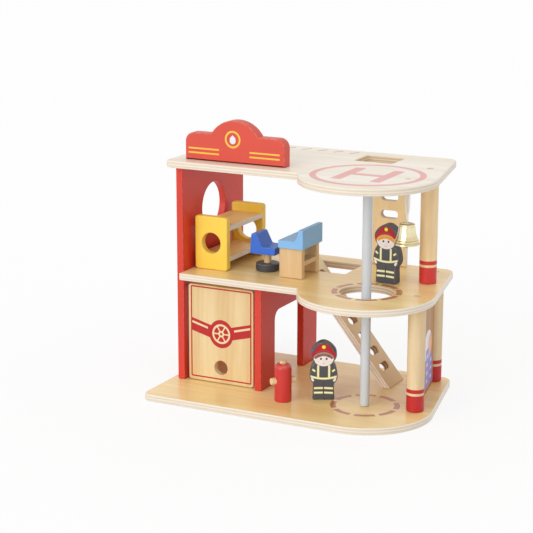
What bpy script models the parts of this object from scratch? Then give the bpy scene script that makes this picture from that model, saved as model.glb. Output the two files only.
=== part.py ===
"""Toy fire station: three plywood decks on painted walls and turned posts, with a
garage door, two ladders, a sliding pole, a hanging bell, loose furniture and two figures.

Units are metres and +Z is up. Plan places are given from the front outer corner of the
left wall: +X runs right along the front, +Y runs back. One empty, station_origin, carries
everything, so that the world origin lies under the middle of the station.
"""
import math

import bmesh
import bpy
from mathutils import Matrix, Vector

# Fits shared by all pieces
FIT_GAP = 0.0003
CUT_OVERRUN = 0.002

# Decks
BASE_THICKNESS = 0.0092
DECK_THICKNESS = 0.009
GROUND_CLEAR_HEIGHT = 0.1372
UPPER_CLEAR_HEIGHT = 0.1361
SIDE_OVERHANG = 0.010
FRONT_OVERHANG = 0.0135
NOSE_RADIUS = 0.086
SLANT_ANGLE = math.radians(11.5)
BACK_CORNER_RADIUS = 0.016
DECK_CORNER_RADIUS = 0.011
SMALL_CORNER_RADIUS = 0.003

# Walls
WALL_LENGTH = 0.166
WALL_THICKNESS = 0.0095
WINDOW_RADIUS = 0.0314
WINDOW_HEIGHT_ABOVE_FLOOR = 0.0716
GARAGE_CLEAR_WIDTH = 0.1029
GARAGE_WALL_THICKNESS = 0.0095
GARAGE_FRONT_LEG = 0.0395
GARAGE_REAR_LEG = 0.042
GARAGE_OPENING_HEIGHT = 0.0971
GARAGE_OPENING_CORNER = 0.013

# Sliding pole and the round hole that it passes
POLE_BEFORE_LADDER_FOOT = 0.0026
POLE_Y = 0.010
POLE_DIAMETER = 0.012
POLE_HOLE_RADIUS = 0.0334

# Posts along the slanted side, and the panel between the lower two
POST_DIAMETER = 0.022
POST_LINE_INSET = 0.022
FRONT_POST_ALONG = -0.002
UPPER_POST_ALONG = 0.067
BACK_POST_INSET = 0.0193
PANEL_THICKNESS = 0.003
PANEL_GROOVE_DEPTH = 0.003

# Openings in the decks for the ladders
STAIR_FROM_GARAGE_WALL = 0.0129
STAIR_WIDTH = 0.0662
STAIR_FRONT_Y = 0.0807
STAIR_SIDE_GAP = 0.0043
HATCH_FROM_STAIR = 0.0694
HATCH_WIDTH = 0.0522
HATCH_TO_LADDER = 0.0081
HATCH_DEPTH = 0.0452

# Ladders, cut from board with oblong rungs
LADDER_WIDTH = 0.047
LADDER_THICKNESS = 0.0088
LADDER_SLOT_LENGTH = 0.0238
LADDER_SLOT_HEIGHT = 0.0104
UPPER_LADDER_OFF_HATCH = 0.0016
UPPER_LADDER_BACK_INSET = 0.0072
UPPER_LADDER_SLOTS = 5
UPPER_END_SLOT = 0.0216
LOWER_LADDER_SLOPE = math.radians(51.1)
LOWER_LADDER_HEAD_RISE = 0.008
LOWER_LADDER_SLOTS = 7
LOWER_FIRST_SLOT = 0.0287
LOWER_LAST_SLOT_BELOW_HEAD = 0.0248

# Garage door, hung on two pins near its top edge
DOOR_SIDE_CLEARANCE = 0.00415
DOOR_TOP_CLEARANCE = 0.0077
DOOR_THICKNESS = 0.009
DOOR_FRONT_Y = 0.005
DOOR_FLOOR_CLEARANCE = 0.001
DOOR_CORNER_RADIUS = 0.004
DOOR_PIVOT_BELOW_TOP = 0.0045
DOOR_PIN_DIAMETER = 0.004
DOOR_PIN_IN_DOOR = 0.010
DOOR_PIN_IN_WALL = 0.006
FINGER_HOLE_RADIUS = 0.0095
FINGER_HOLE_HEIGHT = 0.0205

# Sign board that stands on the roof
SIGN_LEFT_X = 0.0102
SIGN_WIDTH = 0.1402
SIGN_FRONT_Y = 0.0072
SIGN_THICKNESS = 0.016
SIGN_SHOULDER_HEIGHT = 0.0351
SIGN_PEAK_HEIGHT = 0.0537
SIGN_ARCH_HALF_CHORD = 0.0333
SIGN_CORNER_RADIUS = 0.012

# Fasteners and dowels
DOWEL_DIAMETER = 0.005
DOWEL_IN_DECK = 0.006
DOWEL_IN_BOARD = 0.012
END_FASTENER_INSET = 0.020
SCREW_SHANK_DIAMETER = 0.003
SCREW_HEAD_DIAMETER = 0.0064
SCREW_HEAD_HEIGHT = 0.0022
SCREW_LENGTH = 0.024
PLUG_DIAMETER = 0.008
PLUG_LENGTH = 0.0025

# Bell on its string
BELL_FROM_POLE_X = 0.0512
BELL_FROM_POLE_Y = 0.0008
BELL_CROWN_DROP = 0.045
BELL_HEIGHT = 0.0256
BELL_RIM_RADIUS = 0.016
BELL_WALL = 0.0011
BELL_HOLE_RADIUS = 0.0012
# The bell's side from crown to rim: (share of rim radius, share of height below the crown)
BELL_SIDE_SHARES = (
    (0.52, 0.0), (0.58, 0.05), (0.64, 0.19), (0.73, 0.55), (0.87, 0.82), (1.0, 0.96), (1.0, 1.0),
)
STRING_DIAMETER = 0.0014
STRING_STRAND_SPACING = 0.0042
STRING_KNOT_ABOVE_CROWN = 0.0072
STRING_KNOT_RADIUS = 0.0016
STRING_TOP_GAP = 0.0006
STRING_IN_BELL = 0.001
BELL_PEG_DIAMETER = 0.0058
CLAPPER_ROD_DIAMETER = 0.0014
CLAPPER_BALL_RADIUS = 0.0026
CLAPPER_BELOW_RIM = 0.0046
CLAPPER_TOP_GAP = 0.0006

# Bunk bed
BUNK_WALL_GAP = 0.0054
BUNK_FRONT_Y = 0.0213
BUNK_WIDTH = 0.047
BUNK_LENGTH = 0.110
BUNK_PANEL_THICKNESS = 0.010
BUNK_PANEL_HEIGHT = 0.0702
BUNK_CORNER_RADIUS = 0.004
BUNK_HOLE_RADIUS = 0.0136
BUNK_SHELF_THICKNESS = 0.006
BUNK_LOWER_SHELF_HEIGHT = 0.0116
BUNK_UPPER_SHELF_BELOW_TOP = 0.0182
BUNK_DADO_DEPTH = 0.005

# Swivel chair
CHAIR_FROM_BUNK = 0.0237
CHAIR_Y = 0.055
CHAIR_BASE_RADIUS = 0.0154
CHAIR_BASE_HEIGHT = 0.010
CHAIR_BASE_ROUNDING = 0.0015
CHAIR_STEM_DIAMETER = 0.0096
CHAIR_STEM_SOCKET = 0.005
CHAIR_SEAT_HEIGHT = 0.0232
CHAIR_SEAT_THICKNESS = 0.0099
CHAIR_SEAT_LENGTH = 0.0356
CHAIR_SEAT_WIDTH = 0.032
CHAIR_BACK_HEIGHT = 0.0262
CHAIR_BACK_TOP_LENGTH = 0.0072
CHAIR_BACK_LEAN = 0.0018
CHAIR_BACK_FOOT_LENGTH = 0.0172
CHAIR_EDGE_RADIUS = 0.0025

# Desk
DESK_FROM_CHAIR = 0.012
DESK_OVER_STAIR = 0.0018
DESK_TOP_WIDTH = 0.035
DESK_TOP_DEPTH = 0.0585
DESK_TOP_HEIGHT = 0.0387
DESK_LOW_THICKNESS = 0.0100
DESK_HIGH_THICKNESS = 0.0252
DESK_LEDGE_WIDTH = 0.0068
DESK_CURVE_WIDTH = 0.0085
DESK_BODY_LEFT_INSET = 0.0003
DESK_BODY_RIGHT_INSET = 0.0028
DESK_END_INSET = 0.0038
DESK_PANEL_THICKNESS = 0.008
DESK_SHELF_THICKNESS = 0.006
DESK_SHELF_HEIGHT = 0.0158
DESK_DADO_DEPTH = 0.003

# Water hydrant
HYDRANT_FROM_GARAGE_WALL = 0.0406
HYDRANT_Y = -0.0187
HYDRANT_RADIUS = 0.0109
HYDRANT_HEIGHT = 0.0486
HYDRANT_DOME_HEIGHT = 0.0062
HYDRANT_FOOT_ROUNDING = 0.001
HYDRANT_CAP_DIAMETER = 0.0085
HYDRANT_CAP_HEIGHT = 0.0038
HYDRANT_CAP_SOCKET = 0.008
HYDRANT_PEG_DIAMETER = 0.0085
HYDRANT_PEG_LENGTH = 0.0335
HYDRANT_PEG_BELOW_TOP = 0.0221
HYDRANT_TURN = math.radians(49)

# Flat wooden figures
FIGURE_HEIGHT = 0.0753
FIGURE_HALF_WIDTH = 0.0176
FIGURE_THICKNESS = 0.015
LOWER_FIGURE_BEFORE_POLE = 0.0581
LOWER_FIGURE_Y = 0.0131
LOWER_FIGURE_TURN = math.radians(25.6)
UPPER_FIGURE_PAST_POLE = 0.0047
UPPER_FIGURE_BEHIND_POLE = 0.0562
UPPER_FIGURE_TURN = math.radians(-3.3)

# Outline of a figure's right half, bottom to top: (share of half width, share of height)
FIGURE_OUTLINE_SHARES = (
    (0.78, 0.0), (0.765, 0.14), (0.755, 0.27), (0.89, 0.315), (0.98, 0.365), (1.0, 0.42),
    (0.94, 0.50), (0.84, 0.58), (0.68, 0.645), (0.84, 0.70), (0.925, 0.76), (0.92, 0.82),
    (0.81, 0.875), (0.63, 0.925), (0.41, 0.967), (0.20, 0.992),
)

# Smoothness counts of round shapes
ARC_STEPS = 10
NOSE_STEPS = 30
ROUND_SIDES = 32
SMALL_ROUND_SIDES = 16

# Heights and lines that follow from the sizes above
BASE_TOP = BASE_THICKNESS
FLOOR_UNDERSIDE = BASE_TOP + GROUND_CLEAR_HEIGHT
FLOOR_TOP = FLOOR_UNDERSIDE + DECK_THICKNESS
ROOF_UNDERSIDE = FLOOR_TOP + UPPER_CLEAR_HEIGHT
ROOF_TOP = ROOF_UNDERSIDE + DECK_THICKNESS
GARAGE_WALL_X = WALL_THICKNESS + GARAGE_CLEAR_WIDTH
GARAGE_WALL_RIGHT = GARAGE_WALL_X + GARAGE_WALL_THICKNESS
DOOR_WIDTH = GARAGE_CLEAR_WIDTH - 2 * DOOR_SIDE_CLEARANCE
DOOR_HEIGHT = GROUND_CLEAR_HEIGHT - DOOR_FLOOR_CLEARANCE - DOOR_TOP_CLEARANCE
STAIR_LEFT_X = GARAGE_WALL_RIGHT + STAIR_FROM_GARAGE_WALL
STAIR_DEPTH = LADDER_WIDTH + 2 * STAIR_SIDE_GAP
STAIR_MIDDLE_Y = STAIR_FRONT_Y + STAIR_DEPTH / 2
LADDER_RUN = (FLOOR_TOP - BASE_TOP) / math.tan(LOWER_LADDER_SLOPE)
LADDER_HEEL_LENGTH = LADDER_THICKNESS / math.sin(LOWER_LADDER_SLOPE)
LOWER_LADDER_FOOT_X = STAIR_LEFT_X + FIT_GAP + LADDER_RUN + LADDER_HEEL_LENGTH
LOWER_LADDER_LENGTH = (FLOOR_TOP - BASE_TOP + LOWER_LADDER_HEAD_RISE) / math.sin(LOWER_LADDER_SLOPE)
LOWER_SLOT_RUN = LOWER_LADDER_LENGTH - LOWER_FIRST_SLOT - LOWER_LAST_SLOT_BELOW_HEAD
LOWER_SLOT_PITCH = LOWER_SLOT_RUN / (LOWER_LADDER_SLOTS - 1)
UPPER_SLOT_PITCH = (UPPER_CLEAR_HEIGHT - 2 * UPPER_END_SLOT) / (UPPER_LADDER_SLOTS - 1)
HATCH_LEFT_X = STAIR_LEFT_X + HATCH_FROM_STAIR
UPPER_LADDER_CENTRE_X = HATCH_LEFT_X + HATCH_WIDTH / 2 + UPPER_LADDER_OFF_HATCH
UPPER_LADDER_FRONT_Y = WALL_LENGTH - UPPER_LADDER_BACK_INSET - LADDER_THICKNESS
HATCH_FRONT_Y = UPPER_LADDER_FRONT_Y - HATCH_TO_LADDER - HATCH_DEPTH
POLE_X = LOWER_LADDER_FOOT_X - POLE_BEFORE_LADDER_FOOT
BUNK_LEFT_X = WALL_THICKNESS + BUNK_WALL_GAP
BUNK_UPPER_SHELF_HEIGHT = BUNK_PANEL_HEIGHT - BUNK_UPPER_SHELF_BELOW_TOP
CHAIR_X = BUNK_LEFT_X + BUNK_WIDTH + CHAIR_FROM_BUNK + CHAIR_SEAT_LENGTH / 2
DESK_LEFT_X = CHAIR_X + CHAIR_SEAT_LENGTH / 2 + DESK_FROM_CHAIR
DESK_FRONT_Y = STAIR_FRONT_Y + DESK_OVER_STAIR - DESK_TOP_DEPTH
SLANT_NORMAL = Vector((math.cos(SLANT_ANGLE), math.sin(SLANT_ANGLE), 0))
SLANT_ALONG = Vector((-math.sin(SLANT_ANGLE), math.cos(SLANT_ANGLE), 0))
POLE_CENTRE = Vector((POLE_X, POLE_Y, 0))
POST_LINE = POLE_CENTRE + SLANT_NORMAL * (NOSE_RADIUS - POST_LINE_INSET)
BACK_POST_ALONG = (WALL_LENGTH - BACK_POST_INSET - POST_LINE.y) / SLANT_ALONG.y
BELL_X = POLE_X + BELL_FROM_POLE_X
BELL_Y = POLE_Y + BELL_FROM_POLE_Y
HYDRANT_X = GARAGE_WALL_RIGHT + HYDRANT_FROM_GARAGE_WALL
HYDRANT_PEG_HEIGHT = HYDRANT_HEIGHT - HYDRANT_PEG_BELOW_TOP
LOWER_FIGURE_X = POLE_X - LOWER_FIGURE_BEFORE_POLE
UPPER_FIGURE_X = POLE_X + UPPER_FIGURE_PAST_POLE
UPPER_FIGURE_Y = POLE_Y + UPPER_FIGURE_BEHIND_POLE
BASE_FRONT_Y = POLE_Y - NOSE_RADIUS
STATION_CENTRE = Vector((
    (POLE_X + NOSE_RADIUS - SIDE_OVERHANG) / 2,
    (BASE_FRONT_Y + WALL_LENGTH) / 2,
    0,
))

# Finishes: colour in sRGB 0 to 255, roughness, metallic
BIRCH = ((229, 200, 155), 0.55, 0.0)
PALE_BIRCH = ((238, 228, 208), 0.55, 0.0)
RED_PAINT = ((226, 74, 58), 0.45, 0.0)
PINE = ((228, 198, 150), 0.55, 0.0)
GREY_PAINT = ((190, 190, 192), 0.4, 0.0)
YELLOW_PAINT = ((245, 202, 82), 0.45, 0.0)
BLUE_PAINT = ((52, 98, 205), 0.45, 0.0)
SKY_PAINT = ((130, 185, 240), 0.45, 0.0)
CHARCOAL_PAINT = ((72, 73, 77), 0.5, 0.0)
HYDRANT_PAINT = ((214, 66, 58), 0.4, 0.0)
BRASS = ((222, 200, 120), 0.25, 1.0)
STEEL = ((180, 182, 186), 0.3, 1.0)
COTTON = ((240, 236, 226), 0.9, 0.0)


def clear_scene():
    """Removes every object of the open file."""
    for item in list(bpy.data.objects):
        bpy.data.objects.remove(item, do_unlink=True)


def make_collection(name, hidden=False):
    """Returns a new collection linked to the scene."""
    made = bpy.data.collections.new(name)
    bpy.context.scene.collection.children.link(made)
    made.hide_render = hidden
    return made


def linear_channel(value):
    """Returns one sRGB channel of 0 to 255 as a linear share."""
    share = value / 255
    if share <= 0.04045:
        return share / 12.92
    return ((share + 0.055) / 1.055) ** 2.4


def dress(item, finish):
    """Gives an object its own Principled material."""
    colour, roughness, metallic = finish
    material = bpy.data.materials.new(item.name + "_finish")
    material.use_nodes = True
    shader = material.node_tree.nodes["Principled BSDF"]
    shader.inputs["Base Color"].default_value = [linear_channel(c) for c in colour] + [1]
    shader.inputs["Roughness"].default_value = roughness
    shader.inputs["Metallic"].default_value = metallic
    item.data.materials.clear()
    item.data.materials.append(material)


def place_empty(name, location, parent=None, turn=0.0):
    """Returns an empty at a place under its parent, turned about Z."""
    item = bpy.data.objects.new(name, None)
    STATION.objects.link(item)
    item.location = location
    item.rotation_euler = (0, 0, turn)
    item.parent = parent
    return item


def add_object(name, mesh, parent, location=(0, 0, 0), turn=(0, 0, 0), finish=None):
    """Links a mesh as a named object; one without a finish is a hidden cutter."""
    item = bpy.data.objects.new(name, mesh)
    item.location = location
    item.rotation_euler = turn
    item.parent = parent
    if finish is None:
        CUTTERS.objects.link(item)
        item.hide_render = True
        item.display_type = "WIRE"
    else:
        STATION.objects.link(item)
        dress(item, finish)
    return item


def smooth_round_sides(mesh, limit=math.radians(40)):
    """Shades a mesh smooth and keeps its edges sharp past the limit."""
    mesh.shade_smooth()
    mesh.set_sharp_from_angle(angle=limit)


def arc(centre, radius, start, end, steps):
    """Returns points on an arc from one angle to another, both ends included."""
    angles = [start + (end - start) * index / steps for index in range(steps + 1)]
    return [(centre[0] + radius * math.cos(a), centre[1] + radius * math.sin(a)) for a in angles]


def circle(centre, radius, sides=ROUND_SIDES):
    """Returns the points of a circle, without repeating the first."""
    return arc(centre, radius, 0, 2 * math.pi, sides)[:-1]


def fillet(before, corner, after, radius, steps=4):
    """Returns the points of a rounded corner between two straight edges."""
    corner = Vector(corner)
    first = (Vector(before) - corner).normalized()
    second = (Vector(after) - corner).normalized()
    half = first.angle(second) / 2
    middle = (first + second).normalized()
    centre = corner + middle * (radius / math.sin(half))
    begin = corner + first * (radius / math.tan(half)) - centre
    finish = corner + second * (radius / math.tan(half)) - centre
    sweep = math.atan2(begin.x * finish.y - begin.y * finish.x, begin.dot(finish))
    angle = math.atan2(begin.y, begin.x)
    return arc(centre, radius, angle, angle + sweep, steps)


def rounded_outline(corners, steps=4):
    """Returns an outline from (x, y, radius) corners; a radius of zero stays sharp."""
    points = []
    for index, (x, y, radius) in enumerate(corners):
        before = corners[index - 1][:2]
        after = corners[(index + 1) % len(corners)][:2]
        if radius > 0:
            points += fillet(before, (x, y), after, radius, steps)
        else:
            points.append((x, y))
    return points


def rounded_rectangle(left, bottom, width, height, radius, steps=4):
    """Returns the outline of a rectangle with four equal round corners."""
    right = left + width
    top = bottom + height
    return rounded_outline(
        ((left, bottom, radius), (right, bottom, radius), (right, top, radius), (left, top, radius)),
        steps,
    )


def oblong(centre, length, height, steps=6):
    """Returns the outline of a slot with round ends, long along x."""
    half = (length - height) / 2
    right = arc((centre[0] + half, centre[1]), height / 2, -math.pi / 2, math.pi / 2, steps)
    left = arc((centre[0] - half, centre[1]), height / 2, math.pi / 2, 3 * math.pi / 2, steps)
    return right + left


def board_mesh(name, outlines, thickness):
    """Returns a closed flat board from an outline and its holes, centred on its plane."""
    curve = bpy.data.curves.new(name, "CURVE")
    curve.dimensions = "2D"
    curve.fill_mode = "BOTH"
    curve.extrude = thickness / 2
    for outline in outlines:
        spline = curve.splines.new("POLY")
        spline.points.add(len(outline) - 1)
        for point, (x, y) in zip(spline.points, outline):
            point.co = (x, y, 0, 1)
        spline.use_cyclic_u = True
    return mesh_from_curve(curve)


def mesh_from_curve(curve):
    """Returns the welded, closed mesh of a curve that has filled caps."""
    item = bpy.data.objects.new(curve.name + "_curve", curve)
    bpy.context.scene.collection.objects.link(item)
    depsgraph = bpy.context.evaluated_depsgraph_get()
    mesh = bpy.data.meshes.new_from_object(item.evaluated_get(depsgraph))
    bpy.data.objects.remove(item, do_unlink=True)
    work = bmesh.new()
    work.from_mesh(mesh)
    bmesh.ops.remove_doubles(work, verts=work.verts, dist=FIT_GAP / 10)
    bmesh.ops.recalc_face_normals(work, faces=work.faces)
    work.to_mesh(mesh)
    work.free()
    smooth_round_sides(mesh)
    return mesh


def box_mesh(name, low, high):
    """Returns a box between two corners."""
    size = Vector(high) - Vector(low)
    middle = (Vector(high) + Vector(low)) / 2
    work = bmesh.new()
    bmesh.ops.create_cube(work, size=1, matrix=Matrix.Translation(middle) @ Matrix.Diagonal(size).to_4x4())
    mesh = bpy.data.meshes.new(name)
    work.to_mesh(mesh)
    work.free()
    return mesh


def add_rod(work, start, end, radius, end_radius=None, sides=SMALL_ROUND_SIDES):
    """Adds one closed rod or cone between two points to a mesh being built."""
    start = Vector(start)
    axis = Vector(end) - start
    turn = axis.to_track_quat("Z", "Y").to_matrix().to_4x4()
    bmesh.ops.create_cone(
        work,
        cap_ends=True,
        segments=sides,
        radius1=radius,
        radius2=radius if end_radius is None else end_radius,
        depth=axis.length,
        matrix=Matrix.Translation(start + axis / 2) @ turn,
    )


def rods_mesh(name, spans, radius, grow=0.0, sides=SMALL_ROUND_SIDES):
    """Returns a group of rods; grow widens and lengthens them into their own bores."""
    work = bmesh.new()
    for start, end in spans:
        reach = (Vector(end) - Vector(start)).normalized() * grow
        add_rod(work, Vector(start) - reach, Vector(end) + reach, radius + grow, sides=sides)
    mesh = bpy.data.meshes.new(name)
    work.to_mesh(mesh)
    work.free()
    smooth_round_sides(mesh)
    return mesh


def add_rods(spans, diameter, parent, finish, sides=SMALL_ROUND_SIDES):
    """Builds one round rod for each named span, as its own object."""
    for name, span in spans.items():
        mesh = rods_mesh(name, [span], diameter / 2, sides=sides)
        add_object(name, mesh, parent, finish=finish)


def turned_mesh(name, profile, sides=ROUND_SIDES):
    """Returns a turned solid from an (r, z) profile that runs down its outer side."""
    work = bmesh.new()
    points = [work.verts.new((radius, 0, height)) for radius, height in profile]
    for first, second in zip(points, points[1:]):
        work.edges.new((first, second))
    mesh = bpy.data.meshes.new(name)
    work.to_mesh(mesh)
    work.free()
    item = bpy.data.objects.new(name + "_profile", mesh)
    bpy.context.scene.collection.objects.link(item)
    screw = item.modifiers.new("turn", "SCREW")
    screw.steps = sides
    screw.render_steps = sides
    screw.use_merge_vertices = True
    screw.merge_threshold = FIT_GAP / 10
    depsgraph = bpy.context.evaluated_depsgraph_get()
    solid = bpy.data.meshes.new_from_object(item.evaluated_get(depsgraph))
    solid.name = name
    bpy.data.objects.remove(item, do_unlink=True)
    smooth_round_sides(solid)
    return solid


def cut(target, cutter):
    """Cuts one hidden cutter out of a piece."""
    modifier = target.modifiers.new(cutter.name, "BOOLEAN")
    modifier.operation = "DIFFERENCE"
    modifier.solver = "EXACT"
    modifier.object = cutter


def bore(targets, name, spans, diameter, parent, sides=SMALL_ROUND_SIDES):
    """Cuts clearance bores for a list of rod spans out of each target."""
    mesh = rods_mesh(name, spans, diameter / 2, FIT_GAP, sides)
    cutter = add_object(name, mesh, parent)
    for target in targets:
        cut(target, cutter)


# Turns that stand a flat outline up: its x and y become the world axes named
STAND_IN_YZ = (math.pi / 2, 0, math.pi / 2)
STAND_IN_XZ = (math.pi / 2, 0, 0)


def slant_point(along, height=0.0):
    """Returns the point of the post line at a distance along it."""
    return POST_LINE + SLANT_ALONG * along + Vector((0, 0, height))


def nose_outline(last_angle):
    """Returns the back right corner, the slanted side and the round nose, clockwise from the back."""
    tangent = POLE_CENTRE + SLANT_NORMAL * NOSE_RADIUS
    reach = (WALL_LENGTH - tangent.y) / SLANT_ALONG.y
    corner = tangent + SLANT_ALONG * reach
    start = (POLE_X, WALL_LENGTH)
    back = fillet(start, corner.xy, tangent.xy, BACK_CORNER_RADIUS, ARC_STEPS)
    return back + arc(POLE_CENTRE, NOSE_RADIUS, SLANT_ANGLE, last_angle, NOSE_STEPS)


def nose_meets_front():
    """Returns the point and angle where the nose circle meets the straight front edge."""
    drop = POLE_Y + FRONT_OVERHANG
    angle = -math.pi + math.asin(drop / NOSE_RADIUS)
    return (POLE_X + NOSE_RADIUS * math.cos(angle), -FRONT_OVERHANG), angle


def base_outline():
    """Returns the outline of the ground deck."""
    left = -SIDE_OVERHANG
    front = (left, BASE_FRONT_Y)
    nose = nose_outline(-math.pi / 2)
    front_left = fillet(nose[-1], front, (left, 0), DECK_CORNER_RADIUS, ARC_STEPS)
    back_left = fillet(front, (left, WALL_LENGTH), (0, WALL_LENGTH), DECK_CORNER_RADIUS, ARC_STEPS)
    return nose + front_left + back_left


def upper_outline(left, front_radius, back_radius):
    """Returns the outline of a deck whose front edge steps into the round nose."""
    junction, angle = nose_meets_front()
    nose = nose_outline(angle)
    back = (junction[0], WALL_LENGTH)
    step = fillet(nose[-2], junction, (left, -FRONT_OVERHANG), SMALL_CORNER_RADIUS, ARC_STEPS // 2)
    front_left = fillet(junction, (left, -FRONT_OVERHANG), (left, 0), front_radius, ARC_STEPS)
    back_left = fillet((left, 0), (left, WALL_LENGTH), back, back_radius, ARC_STEPS)
    return nose[:-2] + step + front_left + back_left


def build_decks(root):
    """Builds the three decks and returns them by name."""
    stair = rounded_rectangle(STAIR_LEFT_X, STAIR_FRONT_Y, STAIR_WIDTH, STAIR_DEPTH, SMALL_CORNER_RADIUS)
    hatch = rounded_rectangle(HATCH_LEFT_X, HATCH_FRONT_Y, HATCH_WIDTH, HATCH_DEPTH, SMALL_CORNER_RADIUS)
    floor_left = WALL_THICKNESS + FIT_GAP
    floor_shape = upper_outline(floor_left, SMALL_CORNER_RADIUS, SMALL_CORNER_RADIUS)
    roof_shape = upper_outline(-SIDE_OVERHANG, DECK_CORNER_RADIUS, DECK_CORNER_RADIUS)
    pole_hole = circle((POLE_X, POLE_Y), POLE_HOLE_RADIUS, 2 * ROUND_SIDES)
    base_mesh = board_mesh("base_plate", [base_outline()], BASE_THICKNESS)
    floor_mesh = board_mesh("middle_floor", [floor_shape, pole_hole, stair], DECK_THICKNESS)
    roof_mesh = board_mesh("roof_deck", [roof_shape, hatch], DECK_THICKNESS)
    base = add_object("base_plate", base_mesh, root, (0, 0, BASE_THICKNESS / 2), finish=BIRCH)
    floor_middle = FLOOR_UNDERSIDE + DECK_THICKNESS / 2
    roof_middle = ROOF_UNDERSIDE + DECK_THICKNESS / 2
    floor = add_object("middle_floor", floor_mesh, root, (0, 0, floor_middle), finish=BIRCH)
    roof = add_object("roof_deck", roof_mesh, root, (0, 0, roof_middle), finish=PALE_BIRCH)
    return {"base": base, "floor": floor, "roof": roof}


def build_walls(root):
    """Builds the tall left wall with its window and the garage wall with its doorway."""
    bottom = BASE_TOP + FIT_GAP
    window_centre = (WALL_LENGTH / 2, FLOOR_TOP + WINDOW_HEIGHT_ABOVE_FLOOR)
    window = circle(window_centre, WINDOW_RADIUS, 2 * ROUND_SIDES)
    top = ROOF_UNDERSIDE - FIT_GAP
    wall_shape = [(0, bottom), (WALL_LENGTH, bottom), (WALL_LENGTH, top), (0, top)]
    wall_mesh = board_mesh("left_wall", [wall_shape, window], WALL_THICKNESS)
    wall = add_object("left_wall", wall_mesh, root, (WALL_THICKNESS / 2, 0, 0), STAND_IN_YZ, RED_PAINT)
    top = FLOOR_UNDERSIDE - FIT_GAP
    door_top = BASE_TOP + GARAGE_OPENING_HEIGHT
    rear = WALL_LENGTH - GARAGE_REAR_LEG
    garage_shape = rounded_outline(
        (
            (0, bottom, 0),
            (GARAGE_FRONT_LEG, bottom, 0),
            (GARAGE_FRONT_LEG, door_top, GARAGE_OPENING_CORNER),
            (rear, door_top, GARAGE_OPENING_CORNER),
            (rear, bottom, 0),
            (WALL_LENGTH, bottom, 0),
            (WALL_LENGTH, top, 0),
            (0, top, 0),
        ),
        ARC_STEPS,
    )
    garage_mesh = board_mesh("garage_wall", [garage_shape], GARAGE_WALL_THICKNESS)
    middle = GARAGE_WALL_X + GARAGE_WALL_THICKNESS / 2
    garage = add_object("garage_wall", garage_mesh, root, (middle, 0, 0), STAND_IN_YZ, RED_PAINT)
    return {"wall": wall, "garage": garage}


def upright(name, diameter, place, low, high, root, finish, sides=ROUND_SIDES):
    """Builds a round upright between two faces, with the fit gap at both ends."""
    half = (high - low) / 2 - FIT_GAP
    mesh = rods_mesh(name, [((0, 0, -half), (0, 0, half))], diameter / 2, sides=sides)
    return add_object(name, mesh, root, (place.x, place.y, (low + high) / 2), finish=finish)


def build_uprights(root):
    """Builds the sliding pole, the three posts and the panel between the lower two."""
    pole = upright(
        "slide_pole", POLE_DIAMETER, POLE_CENTRE, BASE_TOP, ROOF_UNDERSIDE, root, GREY_PAINT, 24
    )
    front = upright(
        "lower_front_post", POST_DIAMETER, slant_point(FRONT_POST_ALONG), BASE_TOP, FLOOR_UNDERSIDE, root, PINE
    )
    back = upright(
        "lower_back_post", POST_DIAMETER, slant_point(BACK_POST_ALONG), BASE_TOP, FLOOR_UNDERSIDE, root, PINE
    )
    upper = upright(
        "upper_post", POST_DIAMETER, slant_point(UPPER_POST_ALONG), FLOOR_TOP, ROOF_UNDERSIDE, root, PINE
    )
    inset = POST_DIAMETER / 2 - PANEL_GROOVE_DEPTH
    start = FRONT_POST_ALONG + inset
    end = BACK_POST_ALONG - inset
    low = BASE_TOP + FIT_GAP
    high = FLOOR_UNDERSIDE - FIT_GAP
    half = PANEL_THICKNESS / 2
    turn = (0, 0, SLANT_ANGLE)
    panel_mesh = box_mesh("poster_panel", (-half, start + FIT_GAP, low), (half, end - FIT_GAP, high))
    add_object("poster_panel", panel_mesh, root, POST_LINE, turn, PINE)
    room = half + FIT_GAP
    groove_mesh = box_mesh("panel_groove", (-room, start, BASE_TOP), (room, end, FLOOR_UNDERSIDE))
    groove = add_object("panel_groove", groove_mesh, root, POST_LINE, turn)
    cut(front, groove)
    cut(back, groove)
    return {"front": front, "back": back, "upper": upper, "pole": pole}


def build_upper_ladder(root):
    """Builds the upright ladder board that leads to the roof hatch."""
    bottom = FLOOR_TOP + FIT_GAP
    top = ROOF_UNDERSIDE - FIT_GAP
    left = UPPER_LADDER_CENTRE_X - LADDER_WIDTH / 2
    right = left + LADDER_WIDTH
    outline = [(left, bottom), (right, bottom), (right, top), (left, top)]
    middle = (bottom + top) / 2
    slots = []
    for index in range(UPPER_LADDER_SLOTS):
        height = middle + (index - (UPPER_LADDER_SLOTS - 1) / 2) * UPPER_SLOT_PITCH
        slots.append(oblong((UPPER_LADDER_CENTRE_X, height), LADDER_SLOT_LENGTH, LADDER_SLOT_HEIGHT))
    mesh = board_mesh("upper_ladder", [outline] + slots, LADDER_THICKNESS)
    depth = UPPER_LADDER_FRONT_Y + LADDER_THICKNESS / 2
    add_object("upper_ladder", mesh, root, (0, depth, 0), STAND_IN_XZ, BIRCH)


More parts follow.
